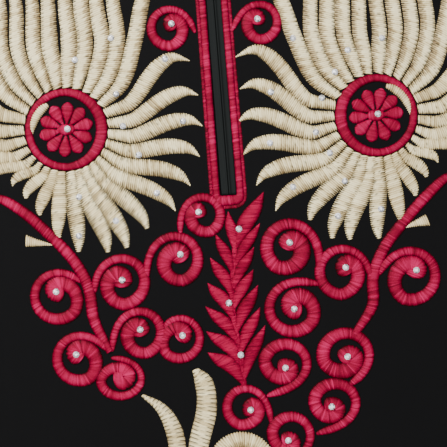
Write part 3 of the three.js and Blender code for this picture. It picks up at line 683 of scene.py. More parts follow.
# ---- Pieces -----------------------------------------------------------------------------------------
def add_piece(name, points, faces, material, replaces=(), slot=None, uv=None, smooth=True,
              **attributes):
    """Makes one piece from points in millimetres, and puts it in the frame."""
    placed = (np.asarray(points, float) + (0, LAID_Y, 0)) / 1000
    mesh = bpy.data.meshes.new(name)
    mesh.from_pydata(placed.tolist(), [], [list(face) for face in faces])
    for key, values in attributes.items():
        mesh.attributes.new(key, "FLOAT", "POINT").data.foreach_set("value", np.asarray(values, np.float32))
    if uv is not None:
        layer = mesh.uv_layers.new(name="Stitch")
        loops = np.empty(len(mesh.loops), np.int32)
        mesh.loops.foreach_get("vertex_index", loops)
        layer.data.foreach_set("uv", np.asarray(uv, np.float32)[loops].ravel())
    mesh.materials.append(material)
    mesh.validate()
    obj = bpy.data.objects.new(name, mesh)
    bpy.context.scene.collection.objects.link(obj)
    if smooth:
        mesh.shade_smooth()
    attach(obj, "garment")
    if replaces:
        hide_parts(*replaces)
    return obj


def apply_modifier(obj, name):
    bpy.ops.object.select_all(action="DESELECT")
    bpy.context.view_layer.objects.active = obj
    obj.select_set(True)
    bpy.ops.object.modifier_apply(modifier=name)


def thicken(obj, millimetres):
    """Gives a sheet its thickness, on its inner side."""
    wall = obj.modifiers.new("Wall", "SOLIDIFY")
    wall.thickness = millimetres / 1000
    wall.offset = -1
    wall.use_even_offset = False
    apply_modifier(obj, "Wall")


def merge_points(obj, millimetres=0.01):
    """Joins the points where a sheet's halves or layers meet."""
    weld = obj.modifiers.new("Weld", "WELD")
    weld.merge_threshold = millimetres / 1000
    apply_modifier(obj, "Weld")


# ---- Raised stitches --------------------------------------------------------------------------------
TURN_REACH = 1.2  # how far before and after a row its heading is taken
FULL_HALF = 2.4  # a stroke narrower than this on each side is lower than the others

# The irregularities of the stitches, as least and most or as the spread of a bell curve.
STITCH_REACH = (-0.02, 0.22)  # how far a stitch reaches past its stroke's side
STITCH_SINK = 0.02
VALLEY_REACH = 0.42  # how far the valley between two stitches draws back at the stroke's side
PAINTED_VALLEY_SHADE = 0.45  # how much darker it is than the crest: painted shade in the valley, painted highlight on the crest
TONE_WAVE = 0.10  # slow change of tone along a stroke
WAVE_RUN = 7.3
POINT_TONE = 0.05
MARK_DEPTH = (0.5, 1.6)
COMB_DEPTH = (-0.1, 0.45)
SLIT_DEPTH = (0.7, 1.25)
BREAK_PLACE = (-0.8, 0.8)
BREAK_WIDTH = 0.16
SPECK_DARKNESS = (0.25, 0.8)


class Rows:
    """A stroke's line, resampled to two rows of points for each stitch: its valley and its crest."""

    def __init__(self, path, halves, closed, pitch, columns):
        path = np.asarray(path, float)
        halves = np.asarray(halves, float)
        if halves.ndim == 1:
            halves = paired(halves, halves)
        if closed:
            path = np.vstack([path, path[:1]])
            halves = np.vstack([halves, halves[:1]])
        s = distances(path)
        self.stitches = max(3, round(s[-1] / pitch))
        rows = 2 * self.stitches + (0 if closed else 1)
        self.at = np.linspace(0, s[-1], 2 * self.stitches + 1)[:rows]
        self.x, self.y = self.sampled(path, self.at, s)
        self.sides = paired(*self.sampled(halves, self.at, s))
        before, after = self.at - TURN_REACH, self.at + TURN_REACH
        if closed:
            before, after = before % s[-1], after % s[-1]
        tx, ty = self.sampled(path, after, s) - self.sampled(path, before, s)
        length = np.maximum(np.hypot(tx, ty), 1e-6)
        self.tangent = (tx / length)[:, None], (ty / length)[:, None]
        self.t = np.sin(np.linspace(-1, 1, columns) * math.pi / 2)
        self.stitch = np.arange(rows) // 2 % self.stitches
        self.crest = (np.arange(rows) % 2).astype(float)[:, None]
        self.shape = (rows, columns)

    def sampled(self, values, at, s):
        return np.array([np.interp(at, s, column) for column in values.T])

    def each(self, values):
        """A value for each stitch, as one for each of its rows."""
        return values[self.stitch][:, None]


class Stitching:
    """Gathers strokes of satin stitch into one mesh, each stitch a rounded thread across its stroke."""

    def __init__(self, seed, fineness=1.0, relief=1.0):
        settings = bpy.context.scene.abaya_embroidery
        self.pitch = settings.pitch * 1000 / fineness
        self.rib = settings.rib * 1000 * relief
        self.painted_valley_shade = PAINTED_VALLEY_SHADE * relief
        self.notch = VALLEY_REACH * relief
        self.random = np.random.default_rng(seed)
        self.points, self.faces, self.tones, self.gaps, self.uvs = [], [], [], [], []
        self.count = 0

    def stroke(self, path, halves, closed=False, high=CREST, columns=9, slant=0.12, power=2.8,
               notch=1.0, tone=0.5, spread=0.09, rim=0.3, comb=0.0, edge_marks=(0.25, 0.12),
               slits=None, splits=0.0, speckle=0.0):
        """Adds one stroke; halves holds a half width for each point, or one for each of its sides.

        slant leans the stitches, a higher power makes them flatter on top and notch says how much of
        a valley shows at the sides. tone is the stitches' middle tone, spread how it varies, rim how
        much darker the sides are, as painted shade where the dome turns away from the light, and comb
        how much darker one side is, with uneven stitch ends, which on the side petals is painted shade.
        edge_marks is the share of stitches with a dark end and how far in it reaches, slits how many
        stitches apart dark cuts reach in from each side, how far and how dark, splits the share of
        stitches with a dark break inside and speckle the share of dark dots."""
        rows = Rows(path, halves, closed, self.pitch, columns)
        across, points = self.surface(rows, high, slant, power, notch)
        shade = self.shades(rows, tone, spread, rim)
        gap = self.marked_ends(rows, *edge_marks)
        if comb:
            shade = shade - self.combed(rows, comb)
        if slits:
            gap = np.maximum(gap, self.slit_sides(rows, *slits))
        if splits:
            gap = np.maximum(gap, self.breaks(rows, splits))
        if speckle:
            gap = np.maximum(gap, self.specks(rows, speckle))
        self.points.append(points.reshape(-1, 3))
        self.tones.append(np.clip(shade, 0, 1).ravel())
        self.gaps.append(gap.ravel())
        run = np.broadcast_to(rows.at[:, None], rows.shape)
        self.uvs.append(paired(across, run).reshape(-1, 2))
        quads = grid_faces(*rows.shape, closed, True, self.count).tolist()
        self.faces += quads if closed else capped(quads, *rows.shape, self.count)
        self.count += len(self.points[-1])

    def surface(self, rows, high, slant, power, notch):
        """Each point's distance from the stroke's line, and the points themselves."""
        t = rows.t
        half = rows.sides.mean(axis=1)[:, None]
        ends = self.random.uniform(*STITCH_REACH, (rows.stitches, 2))
        side = (t > 0).astype(int)
        past = np.where(rows.crest > 0, ends[rows.stitch][:, side], -self.notch * notch)
        reach = np.maximum(rows.sides[:, side] + past * np.minimum(1, half / 2), 0.12)
        across = t * reach
        lean = slant * across
        tx, ty = rows.tangent
        x = rows.x[:, None] + ty * across + tx * lean
        y = rows.y[:, None] - tx * across + ty * lean
        dome = np.maximum(1 - np.abs(t) ** power, 0) ** 0.55
        lift = (high - FRONT_TOP) * np.clip(half / FULL_HALF, 0.25, 1) * dome
        lift = lift - (1 - rows.crest) * self.rib * (0.35 + 0.65 * dome) * np.minimum(1, lift)
        lift = lift + rows.each(self.random.normal(0, STITCH_SINK, rows.stitches)) * dome
        return across, paired(x, y, FRONT_TOP + np.maximum(lift, 0))

    def shades(self, rows, tone, spread, rim):
        shade = rows.each(self.random.normal(tone, spread, rows.stitches))
        wave = TONE_WAVE * np.sin(rows.at / WAVE_RUN + self.random.uniform(0, 6))[:, None]
        # painted shade: a stroke's sides are darker by rim, where its dome turns away from the light
        shade = shade + wave - rim * np.abs(rows.t) ** 3
        # painted shade in the valleys between stitches and painted highlight on their crests
        shade = shade + self.painted_valley_shade * (rows.crest - 0.5)
        return shade + self.random.normal(0, POINT_TONE, rows.shape)

    def marked_ends(self, rows, share, depth):
        """Dark valleys at the ends of some stitches."""
        gap = np.zeros(rows.shape)
        for ends in (-rows.t, rows.t):
            dark = self.random.random(rows.stitches) < share
            inward = 1 - depth * self.random.uniform(*MARK_DEPTH, rows.stitches)
            hit = rows.each(dark) & (ends > 0) & (ends > rows.each(inward))
            gap = np.maximum(gap, hit * (1 - rows.crest))
        return gap

    def combed(self, rows, comb):
        """How much darker the points of one side are; on the side petals this is painted shade."""
        deep = rows.each(self.random.uniform(*COMB_DEPTH, rows.stitches))
        facing = rows.t * math.copysign(1, comb)
        return abs(comb) * np.clip((facing - deep) * 5, 0, 1) * (1 - 0.6 * rows.crest)

    def slit_sides(self, rows, apart, depth, strength):
        """Evenly spaced dark cuts that reach in from both sides, in turn."""
        gap = np.zeros(rows.shape)
        for ends, shift in ((-rows.t, 0), (rows.t, apart // 2)):
            cut = ((rows.stitch + shift) % apart == 0)[:, None]
            inward = rows.each(1 - 2 * depth * self.random.uniform(*SLIT_DEPTH, rows.stitches))
            gap = np.maximum(gap, strength * (cut & (ends > inward)) * (1 - 0.45 * rows.crest))
        return gap

    def breaks(self, rows, share):
        """A dark break somewhere inside some stitches."""
        broken = self.random.random(rows.stitches) < share
        centre = self.random.uniform(*BREAK_PLACE, rows.stitches)
        hit = rows.each(broken) & (np.abs(rows.t - rows.each(centre)) < BREAK_WIDTH)
        return hit * (1 - 0.55 * rows.crest) * 0.85

    def specks(self, rows, share):
        return (self.random.random(rows.shape) < share) * self.random.uniform(*SPECK_DARKNESS, rows.shape)

    def finish(self, name, thread, node):
        """Makes the gathered strokes the piece that stands for a node."""
        add_piece(name, np.vstack(self.points), self.faces, looks()[thread], [node],
                  slot=THREADS[thread].slot, uv=np.vstack(self.uvs),
                  tone=np.concatenate(self.tones), gap=np.concatenate(self.gaps))


def by_number(terms, k):
    constant, step, bend = terms
    return constant + step * k + bend * k * k


def side_petal(k, reach, mirror, turn=0, droop=0, first=None):
    """A side petal leaves the ring straight, sags, rises and hooks over at its tip.

    k counts from the topmost down and mirror is -1 on the flower's far side."""
    root = by_number(SIDE_PETAL["root"], k)
    spread = SIDE_PETAL["spread"] * (k / 8) ** 2 if mirror < 0 else 0
    turn = turn * max(0, 1 - k / EARLY_PETALS)
    tip = by_number(SIDE_PETAL["tip"], k) + turn - spread - droop
    arch = SIDE_PETAL["arch"] * (1 - k / 11)
    if first and k == 0:
        tip, arch = first
    share = np.linspace(0, 1, 61)
    angle = root + (tip - root) * eased(PETAL_TURN, share) + arch * eased(PETAL_ARCH, share)
    path = paired(*polar(PETAL_ROOT + (reach - PETAL_ROOT) * share, angle))
    stretch = (reach - PETAL_ROOT) / SIDE_PETAL["run"]
    if k < EARLY_PETALS:
        half, swell = 5, [0.6 - 0.02 * k, 0.75 - 0.015 * k, *EARLY_SWELL]
    else:
        half, swell = 5.1, LATE_SWELL
    return path * (mirror, 1), half * min(1, 0.45 + 0.55 * stretch) * eased(swell, share)


def upper_petal(j, mirror):
    """An upper petal leaves the ring straight and bends upright; the outermost leans out again."""
    outermost = j == UPPER_PETAL["number"] - 1
    x0, y0 = polar(PETAL_ROOT, UPPER_PETAL["root"] - UPPER_PETAL["step"] * j)
    lane = UPPER_PETAL["lane"] * (j + 0.5)
    points = [(x0, y0), (x0 + (lane - x0) * 0.62, y0 + 12)]
    points += [(lane + off, y - fall * j) for off, y, fall in
               (OUTERMOST_BENDS if outermost else UPPER_BENDS)]
    widest = UPPER_PETAL["outermost_half"] if outermost else UPPER_PETAL["lane"] / 2 + 0.3
    share = np.linspace(0, 1, 71)
    return curve_through(points, 70) * (mirror, 1), widest * eased(UPPER_SWELL, share), share


def cloth_gap(stretch, share):
    """How far a petal's side draws back along the stretch where black cloth shows beside it."""
    if stretch is None:
        return 0 * share
    first, last = stretch
    ease = CLOTH_GAP["ease"]
    opened = np.clip((share - first) / ease, 0, 1) if first > 0 else 1
    closed = np.clip((last - share) / ease, 0, 1) if last < 1 else 1
    return CLOTH_GAP["depth"] * opened * closed + 0 * share


def circle(x, y, radius, steps):
    turn = np.linspace(0, 2 * math.pi, steps, endpoint=False)
    return paired(x + radius * np.cos(turn), y + radius * np.sin(turn))


def scroll_path(scroll):
    """A scroll's line from its start, once round and in to its eye, and its half widths."""
    x, y, radius = scroll.x, scroll.y, scroll.radius
    first = math.atan2(scroll.start[1] - y, scroll.start[0] - x)
    wide = radius / SCROLL["radius"] * scroll.stout
    swollen = SCROLL["swell"] * radius
    t = np.linspace(0, 1, 120)
    tight = np.clip((t - SCROLL["tighten"]) / (1 - SCROLL["tighten"]), 0, 1) ** SCROLL["draw"]
    angle = first + scroll.hand * math.radians(SCROLL["turn"]) * t
    r = swollen * (1 - tight)
    lead = np.exp(-SCROLL["turn"] * t / SCROLL["lead"])
    lead_x = scroll.start[0] - x - swollen * math.cos(first)
    lead_y = scroll.start[1] - y - swollen * math.sin(first) * scroll.flat
    px = x + (scroll.eye[0] - x) * tight + r * np.cos(angle) + lead_x * lead
    py = y + (scroll.eye[1] - y) * tight + r * np.sin(angle) * scroll.flat + lead_y * lead
    path = paired(px, py)
    heading = path[-1] - path[-3]
    heading /= np.linalg.norm(heading)
    past, eye_half = np.array(SCROLL_EYE).T * radius / SCROLL["radius"] * scroll.bulb
    swell = scroll.bulb / scroll.stout
    halves = wide * eased(SCROLL_HALF, t) * (1 + (swell - 1) * np.clip(4 * t - 3, 0, 1))
    started = np.sqrt(np.clip(t / SCROLL["taper"], 0, 1))
    halves *= SCROLL["thin"] + (1 - SCROLL["thin"]) * started
    return np.vstack([path, path[-1] + heading * past[:, None]]), np.append(halves, eye_half)


def border_line(inset, drop):
    """A line round the slit, from its right top down and up to its left top, by the border's sizes."""
    x = SLIT["half"] + inset
    top = NECK_Y - NECK["front_drop"] - BORDER["below_neck"]
    foot = SLIT["foot"] - inset - drop
    corner = BORDER["corner"] + inset
    right = [(x - 0.5, top), (x, top / 2), (x + 0.5, foot + corner + 4), (x + 0.4, foot + corner + 1)]
    bend = [(x + 0.4 - corner + corner * math.cos(a), foot + corner - corner * math.sin(a))
            for a in np.linspace(0.15, math.pi / 2, 6)]
    half = [*right, *bend]
    points = [(px - 0.4, py) for px, py in (*half, *[(-px, py) for px, py in reversed(half)])]
    line = [np.array(points[0])]
    for a, b in zip(points, points[1:]):
        steps = max(1, int(math.hypot(b[0] - a[0], b[1] - a[1]) / 2))
        line += [np.array(a) + (np.array(b) - a) * (i + 1) / steps for i in range(steps)]
    return np.array(line)


# ---- Operators --------------------------------------------------------------------------------------
LOOKS = {}


def looks():
    """The garment's materials, made once."""
    if not LOOKS:
        scene = bpy.context.scene
        cloth, thread = scene.abaya_cloth, scene.abaya_embroidery
        ground = scaled(cloth.crepe, GROUND_SHADE)
        colors = {"crimson": tuple(thread.crimson), "leaf": scaled(thread.crimson, LEAF_SHADE),
                  "cream": tuple(thread.cream), "bronze": tuple(thread.bronze)}
        for key, color in colors.items():
            LOOKS[key] = thread_look(THREADS[key], color, ground)
        LOOKS["crepe"] = crepe_look("Black crepe", tuple(cloth.crepe))
        LOOKS["seam"] = crepe_look("Black sewing thread", scaled(cloth.crepe, SEAM_SHADE))
        LOOKS["tape"] = tape_look("Zip tape", tuple(cloth.tape))
        LOOKS["enamel"] = enamel_look("Black enamel", tuple(scene.abaya_trim.enamel))
        LOOKS["stone"] = stone_look("Silvered crystal")
    return LOOKS


def body_panel(name, node, drop, low, front):
    """A body panel as a grid over its outline, with its neckline and slit left open."""
    fold = HEM_Y + bpy.context.scene.abaya_cloth.hem_depth * 1000
    slit_foot = SLIT["foot"] - GAP
    rows = np.unique(np.round(np.concatenate([
        np.linspace(HEM_Y, NECK_Y - drop, PANEL["rows"]),
        NECK_Y - drop * np.cos(np.linspace(0, math.pi / 2, PANEL["neck_rows"])),
        [fold - 1, fold + 1, slit_foot, slit_foot + 0.4]]), 3))[:, None]
    half = outline_half(rows)
    depth = np.clip((NECK_Y - rows) / drop, 0, 1)
    inner = np.where(rows > NECK_Y - drop, NECK["half_width"] * np.sqrt(1 - depth**2), 0)
    if front:
        inner = np.maximum(inner, np.where(rows > slit_foot + 0.2, SLIT["half"] + SLIT["margin"], 0))
    x = inner + (half - inner) * np.linspace(0, 1, PANEL["columns"] + 1)
    fall = np.clip((PANEL["sag_top"] - rows) / (PANEL["sag_top"] - HEM_Y), 0, 1)
    y = rows + HEM_RISE * fall**2 * (3 - 2 * fall) * (x / half) ** 2
    points, faces = [], []
    for mirror in (1, -1):
        px = mirror * x
        z = np.full(x.shape, low + CLOTH)
        if front:
            z = z + PANEL["hem_fold"] * (rows < fold)
            z = z + FLUTE_DEPTH * flute_lift(px, rows)
            z = z + crease_lift(px, y, [*CHEST_CREASES, *SKIRT_CREASES])
        else:
            z = z - crease_lift(px, y, BACK_CREASES)
        quads = grid_faces(*x.shape, start=len(points) * x.size)
        faces.append(quads if mirror > 0 else quads[:, ::-1])
        points.append(paired(px, y, z).reshape(-1, 3))
    made = add_piece(name, np.vstack(points), np.vstack(faces), looks()["crepe"], [node],
                     slot="black_crepe")
    merge_points(made)
    thicken(made, CLOTH - PANEL["thinner"])
    return made


class ABAYA_OT_body(bpy.types.Operator):
    """Make the front and back of the body"""
    bl_idname = "abaya.body"
    bl_label = "Body"

    def execute(self, context):
        back = body_panel("back_cloth", "back_panel", NECK["back_drop"], 0, False)
        front = body_panel("front_cloth", "front_panel", NECK["front_drop"], FRONT_Z, True)
        return {"FINISHED"}


def sleeve_point(mirror, u, v):
    """A point of the sleeve's middle surface: u runs down the arm, v from underarm to shoulder."""
    down = math.radians(SLEEVE["droop"])
    top = (SHOULDER[0] + SLEEVE["top_length"] * math.cos(down),
           SHOULDER[1] - SLEEVE["top_length"] * math.sin(down))
    cuff = (top[0] - SLEEVE["cuff"] * math.sin(down), top[1] - SLEEVE["cuff"] * math.cos(down))
    hole_x, hole_y = armhole(v)
    end_x, end_y = cuff[0] + (top[0] - cuff[0]) * v, cuff[1] + (top[1] - cuff[1]) * v
    start = hole_x + GAP / 2
    return mirror * (start + (end_x - start) * u), hole_y + (end_y - hole_y) * u


def sleeve_puff(u, v):
    """How far the sleeve's upper layer stands off the lower one."""
    pillow = SLEEVE["pillow"] * np.sin(math.pi * v) * np.sin(math.pi * u) ** 0.5
    return pillow * (1 + 0.35 * np.cos(math.pi * (3 * u + 2.2 * v)))


def cuff_start():
    """How far down the sleeve its cuff begins."""
    return 1 - bpy.context.scene.abaya_cloth.cuff_depth * 1000 / SLEEVE["middle_length"]


def sleeve_shell(mirror):
    """A sleeve as a ring of points at each step down the arm, its upper layer first."""
    name = "sleeve_" + side_name(mirror)
    rows, columns = 74, 36
    cuff = cuff_start()
    u = np.unique(np.concatenate([np.linspace(0, 1, rows), [cuff - 0.002, cuff + 0.002]]))[:, None]
    v = (0.5 - 0.5 * np.cos(np.linspace(0, math.pi, columns + 1)))[None, :]
    x, y = sleeve_point(mirror, u, v)
    creases = [((mirror * x0, y0), (mirror * x1, y1), half, height)
               for x0, y0, x1, y1, half, height in SLEEVE_CREASES]
    belly = np.sin(math.pi * v)
    fade = belly * np.clip(np.minimum(u, 1 - u) * 12, 0, 1)
    lift = sleeve_puff(u, v) + crease_lift(x, y, creases) * fade
    lift = lift + SLEEVE["cuff_fold"] * (u > cuff) * belly
    edge = np.clip(np.minimum(v, 1 - v) * 220 / SLEEVE["edge_radius"], 0, 1)
    rounded = np.sqrt(np.clip(1 - (1 - edge) ** 2, 0, 1))
    middle = FRONT_TOP / 2
    top = middle + middle * rounded + lift
    bottom = np.broadcast_to(middle - middle * rounded, x.shape)
    around = [np.hstack([over, under[:, ::-1]]) for over, under in ((x, x), (y, y), (top, bottom))]
    faces = grid_faces(len(u), 2 * (columns + 1), wrap_columns=True)
    if mirror > 0:
        faces = faces[:, ::-1]
    made = add_piece(name + "_cloth", paired(*around).reshape(-1, 3), faces, looks()["crepe"], [name],
                     slot="black_crepe")
    merge_points(made, 0.02)
    thicken(made, CLOTH - SLEEVE["thinner"])
    return made


class ABAYA_OT_sleeves(bpy.types.Operator):
    """Make both sleeves as flattened tubes, open at the armhole and the cuff"""
    bl_idname = "abaya.sleeves"
    bl_label = "Sleeves"

    def execute(self, context):
        for mirror in (-1, 1):
            sleeve_shell(mirror)
        return {"FINISHED"}


def band(path, half, low, high):
    """A folded strip along a path, as points and faces of one closed body."""
    path = np.asarray(path, float)
    tangent = np.gradient(path, axis=0)
    tangent /= np.linalg.norm(tangent, axis=1)[:, None]
    t = np.sin(np.linspace(-1, 1, STRIP["columns"]) * math.pi / 2)
    x = path[:, :1] + tangent[:, 1:] * t * half
    y = path[:, 1:] - tangent[:, :1] * t * half
    z = low + 0 * x + (high - low) * np.maximum(1 - np.abs(t) ** STRIP["power"], 0) ** 0.6
    faces = capped(grid_faces(*x.shape, wrap_columns=True).tolist(), *x.shape)
    return paired(x, y, z).reshape(-1, 3), faces


def neckline(drop, inset, first, last):
    """A line inside a neckline, between two shares of its run from right to left."""
    a = math.pi * (1 + np.linspace(first, last, 60))
    nx, ny = np.cos(a) / NECK["half_width"], np.sin(a) / drop
    length = np.hypot(nx, ny)
    return paired(NECK["half_width"] * np.cos(a) - inset * nx / length,
                  NECK_Y + drop * np.sin(a) - inset * ny / length)


def dashes(path, length, spacing, width, z):
    """Small rounded stitches laid end to end along a path."""
    path = np.asarray(path, float)
    s = distances(path)
    heights = np.broadcast_to(z, len(path))
    points, faces = [], []
    for start in np.arange(spacing / 2, s[-1] - length, spacing):
        at = start + length * np.array([0, 0.2, 0.8, 1])
        x, y, h = (np.interp(at, s, v) for v in (path[:, 0], path[:, 1], heights))
        tx, ty = x[-1] - x[0], y[-1] - y[0]
        tx, ty = tx / math.hypot(tx, ty), ty / math.hypot(tx, ty)
        quads = grid_faces(4, 4, wrap_columns=True, start=len(points)).tolist()
        faces += capped(quads, 4, 4, len(points))
        for i, (wide, tall) in enumerate(((0.4, 0.1), (1, 1), (1, 1), (0.4, 0.1))):
            for across, up in ((-1, 0), (-0.6, 0.8), (0.6, 0.8), (1, 0)):
                off = across * wide * width / 2
                height = h[i] - DASH["sink"] + (DASH["sink"] + DASH["height"] * up) * tall
                points.append((x[i] + ty * off, y[i] - tx * off, height))
    return np.array(points), faces


class ABAYA_OT_edges(bpy.types.Operator):
    """Make the neck bindings and the sewn lines of the hem, the cuffs and the neck"""
    bl_idname = "abaya.edges"
    bl_label = "Bindings and hems"

    def execute(self, context):
        slit_half = SLIT["half"] + SLIT["margin"]
        share = math.asin((slit_half + GAP) / (NECK["half_width"] - NECK["binding"] - GAP)) / math.pi
        strips = {
            "neck_binding_back": (NECK["back_drop"], 0.2, 1.2, 0.03, 0.97),
            "neck_binding_left": (NECK["front_drop"], FRONT_Z, 3.2, 0.01, 0.5 - share),
            "neck_binding_right": (NECK["front_drop"], FRONT_Z, 3.2, 0.5 + share, 0.99),
        }
        for node, (drop, low, high, first, last) in strips.items():
            path = neckline(drop, GAP + NECK["binding"] / 2, first, last)
            points, faces = band(path, NECK["binding"] / 2, low, high)
            made = add_piece(node + "_strip", points, faces, looks()["crepe"], [node], slot="black_crepe")
        self.sew(context.scene.abaya_cloth)
        return {"FINISHED"}

    def sew(self, cloth):
        """Lays stitches end to end along the hem, the cuffs and the neck."""
        lines = [self.hem_line(HEM_Y + cloth.hem_depth * 1000)]
        v = np.linspace(0.02, 0.98, 60)
        for mirror, first, last in ((-1, 0.012, 0.45), (1, 0.55, 0.988)):
            cuff = paired(*sleeve_point(mirror, cuff_start(), v))
            lines.append((cuff, FRONT_TOP + sleeve_puff(cuff_start(), v)))
            neck = neckline(NECK["front_drop"], GAP + NECK["binding"] - DASH["neck_inset"], first, last)
            lines.append((neck, DASH["neck_z"]))
        length = cloth.stitch_length * 1000
        points, faces, count = [], [], 0
        for path, z in lines:
            made, quads = dashes(path, length, length + DASH["apart"], DASH["width"], z)
            points.append(made)
            faces += [[i + count for i in face] for face in quads]
            count += len(made)
        add_piece("hem_stitches", np.vstack(points), faces, looks()["seam"], slot="black_crepe")

    def hem_line(self, y):
        """The hem's line across the front, with its height on the flutes."""
        x = np.linspace(-HEM_HALF + 2, HEM_HALF - 2, 400)
        z = FRONT_TOP + 0.2 + FLUTE_DEPTH * flute_lift(x, np.full(x.shape, float(y))) + 0.1
        return paired(x, y + HEM_RISE * (x / HEM_HALF) ** 2), z


class ABAYA_OT_zip(bpy.types.Operator):
    """Make the zip's tapes and finish its slider and pull tab"""
    bl_idname = "abaya.zip"
    bl_label = "Zip"

    def execute(self, context):
        for mirror in (-1, 1):
            self.tape(mirror, "zip_tape_" + side_name(mirror))
        for node in ("zip_slider", "zip_pull"):
            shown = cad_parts[node]
            shown.data.materials.clear()
            shown.data.materials.append(looks()["enamel"])
        return {"FINISHED"}

    def tape(self, mirror, node):
        """A tape with its edge rolled up along the slit's middle, rippled there by its teeth."""
        low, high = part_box(node)
        y0, y1 = low[1] * 1000 - LAID_Y, high[1] * 1000 - LAID_Y
        across, up = np.array([*TAPE_SECTION, (TAPE_SECTION[0][0], 0)]).T
        rows = np.linspace(y0, y1, 150)[:, None]
        ripple = TAPE_RIPPLE * np.sin(rows * 4.2) * (up > TAPE_FLAT)
        shape = ripple.shape
        points = paired(np.broadcast_to(across * mirror, shape), np.broadcast_to(rows, shape),
                        FRONT_Z + up + ripple)
        faces = capped(grid_faces(*shape, wrap_columns=True).tolist(), *shape)
        if mirror > 0:
            faces = [face[::-1] for face in faces]
        made = add_piece("tape_" + side_name(mirror), points.reshape(-1, 3), faces, looks()["tape"],
                         [node], slot="zip_tape")


class ABAYA_OT_flowers(bpy.types.Operator):
    """Stitch both flowers: rings, petals, florets and crescents"""
    bl_idname = "abaya.flowers"
    bl_label = "Flowers"

    def execute(self, context):
        for number, (name, flower) in enumerate(FLOWERS.items()):
            seed = 10 * number
            origin = np.array((flower["x"], flower["y"]))
            facing = np.array((flower["inner"], 1))
            self.petals(name, flower, origin, facing, Stitching(11 + seed, PETAL_FINENESS))
            self.ring(name, flower, origin, Stitching(12 + seed, *SATIN))
            self.floret(name, flower, origin, Stitching(13 + seed, *SATIN))
            self.crescent(name, flower, origin, facing, Stitching(14 + seed))
        return {"FINISHED"}

    def petals(self, name, flower, origin, facing, petals):
        inner = flower["inner"]
        for k, (reach, droop) in enumerate(zip(flower["reach"], flower["droop"])):
            path, halves = side_petal(k, reach, 1, flower["turn"], droop, flower["first"])
            kind = STITCHES["side_petal" if k < EARLY_PETALS else "late_petal"]
            # each side petal's lower side is darker by painted shade
            petals.stroke(origin + path * facing, halves, comb=SIDE_PETAL_SHADE * inner, **kind)
        for i, reach in enumerate(OUTER_REACH):
            path, halves = side_petal(len(OUTER_REACH) - 1 - i, reach, -1)
            petals.stroke(origin + path * facing, halves, **STITCHES["outer_petal"])
        tip = curve_through(flower["past"], 30)
        petals.stroke(tip, np.linspace(3.8, 0.4, 31), **STITCHES["petal_tip"])
        for mirror in (1, -1):
            for j in range(UPPER_PETAL["number"]):
                path, halves, share = upper_petal(j, mirror)
                apart = [*flower["apart"], (0, 1)] if mirror > 0 or j == 0 else [(0, 1)] * 6
                sides = [halves - cloth_gap(stretch, share) for stretch in apart[j:j + 2]]
                if mirror * inner < 0:
                    sides.reverse()
                petals.stroke(origin + path * facing, paired(*sides), comb=UPPER_COMB * inner,
                              slant=UPPER_SLANT * inner, **STITCHES["upper_petal"])
        petals.finish("petals_" + name, "cream", "flower_petals_" + name)

    def ring(self, name, flower, origin, ring):
        turn = np.linspace(0, 2 * math.pi, 90, endpoint=False)
        width = RING["width"] + RING["inner"] * np.maximum(np.cos(turn) * flower["inner"], 0)
        rim = (RING["edge"] - width / 2)[:, None] * paired(np.cos(turn), np.sin(turn))
        ring.stroke(origin + rim, width / 2, closed=True, **STITCHES["ring"])
        ring.finish("ring_" + name, "crimson", "flower_ring_" + name)

    def floret(self, name, flower, origin, floret):
        halves = FLORET["half"] * eased(FLORET_SWELL, np.linspace(0, 1, 20))
        reaches = np.linspace(FLORET["root"], FLORET["reach"], 20)
        for i in range(FLORET["petals"]):
            turn = flower["spin"] + 360 * i / FLORET["petals"]
            floret.stroke(origin + paired(*polar(reaches, turn)), halves, **STITCHES["floret"])
        across, up = FLORET["disc"]
        share = np.linspace(-1, 1, 20)
        floret.stroke(origin + paired(across * share, 0 * share),
                      up * np.sqrt(np.maximum(1 - share**2, 0.02)), **STITCHES["floret_disc"])
        floret.finish("floret_" + name, "crimson", "flower_floret_" + name)

    def crescent(self, name, flower, origin, facing, crescent):
        share = np.linspace(0, 1, 30)
        radius = CRESCENT["inner"] + (CRESCENT["outer"] - CRESCENT["inner"]) * share
        angle = flower["tongue"] + (CRESCENT["to"] - flower["tongue"]) * share
        path = origin - paired(*polar(radius, angle)) * facing * (1, -1)
        halves = CRESCENT["half"] * eased(CRESCENT_SWELL, share)
        crescent.stroke(path, halves, **STITCHES["crescent"])
        crescent.finish("crescent_" + name, "cream", "flower_crescent_" + name)


class ABAYA_OT_scrolls(bpy.types.Operator):
    """Stitch the scrolls and the vines that carry them"""
    bl_idname = "abaya.scrolls"
    bl_label = "Scrolls and vines"

    def execute(self, context):
        for number, (name, scroll) in enumerate(SCROLLS.items()):
            curl = Stitching(100 + number, *SATIN)
            curl.stroke(*scroll_path(scroll), **STITCHES["scroll"])
            curl.finish("curl_" + name, "crimson", "scroll_" + name)
        for number, (name, points) in enumerate(VINES.items()):
            vine = Stitching(200 + number, *SATIN)
            halves = eased(VINE_HALF, np.linspace(0, 1, 91))
            vine.stroke(curve_through(points, 90), halves, **STITCHES["vine"])
            vine.finish("tendril_" + name, "crimson", "vine_" + name)
        return {"FINISHED"}


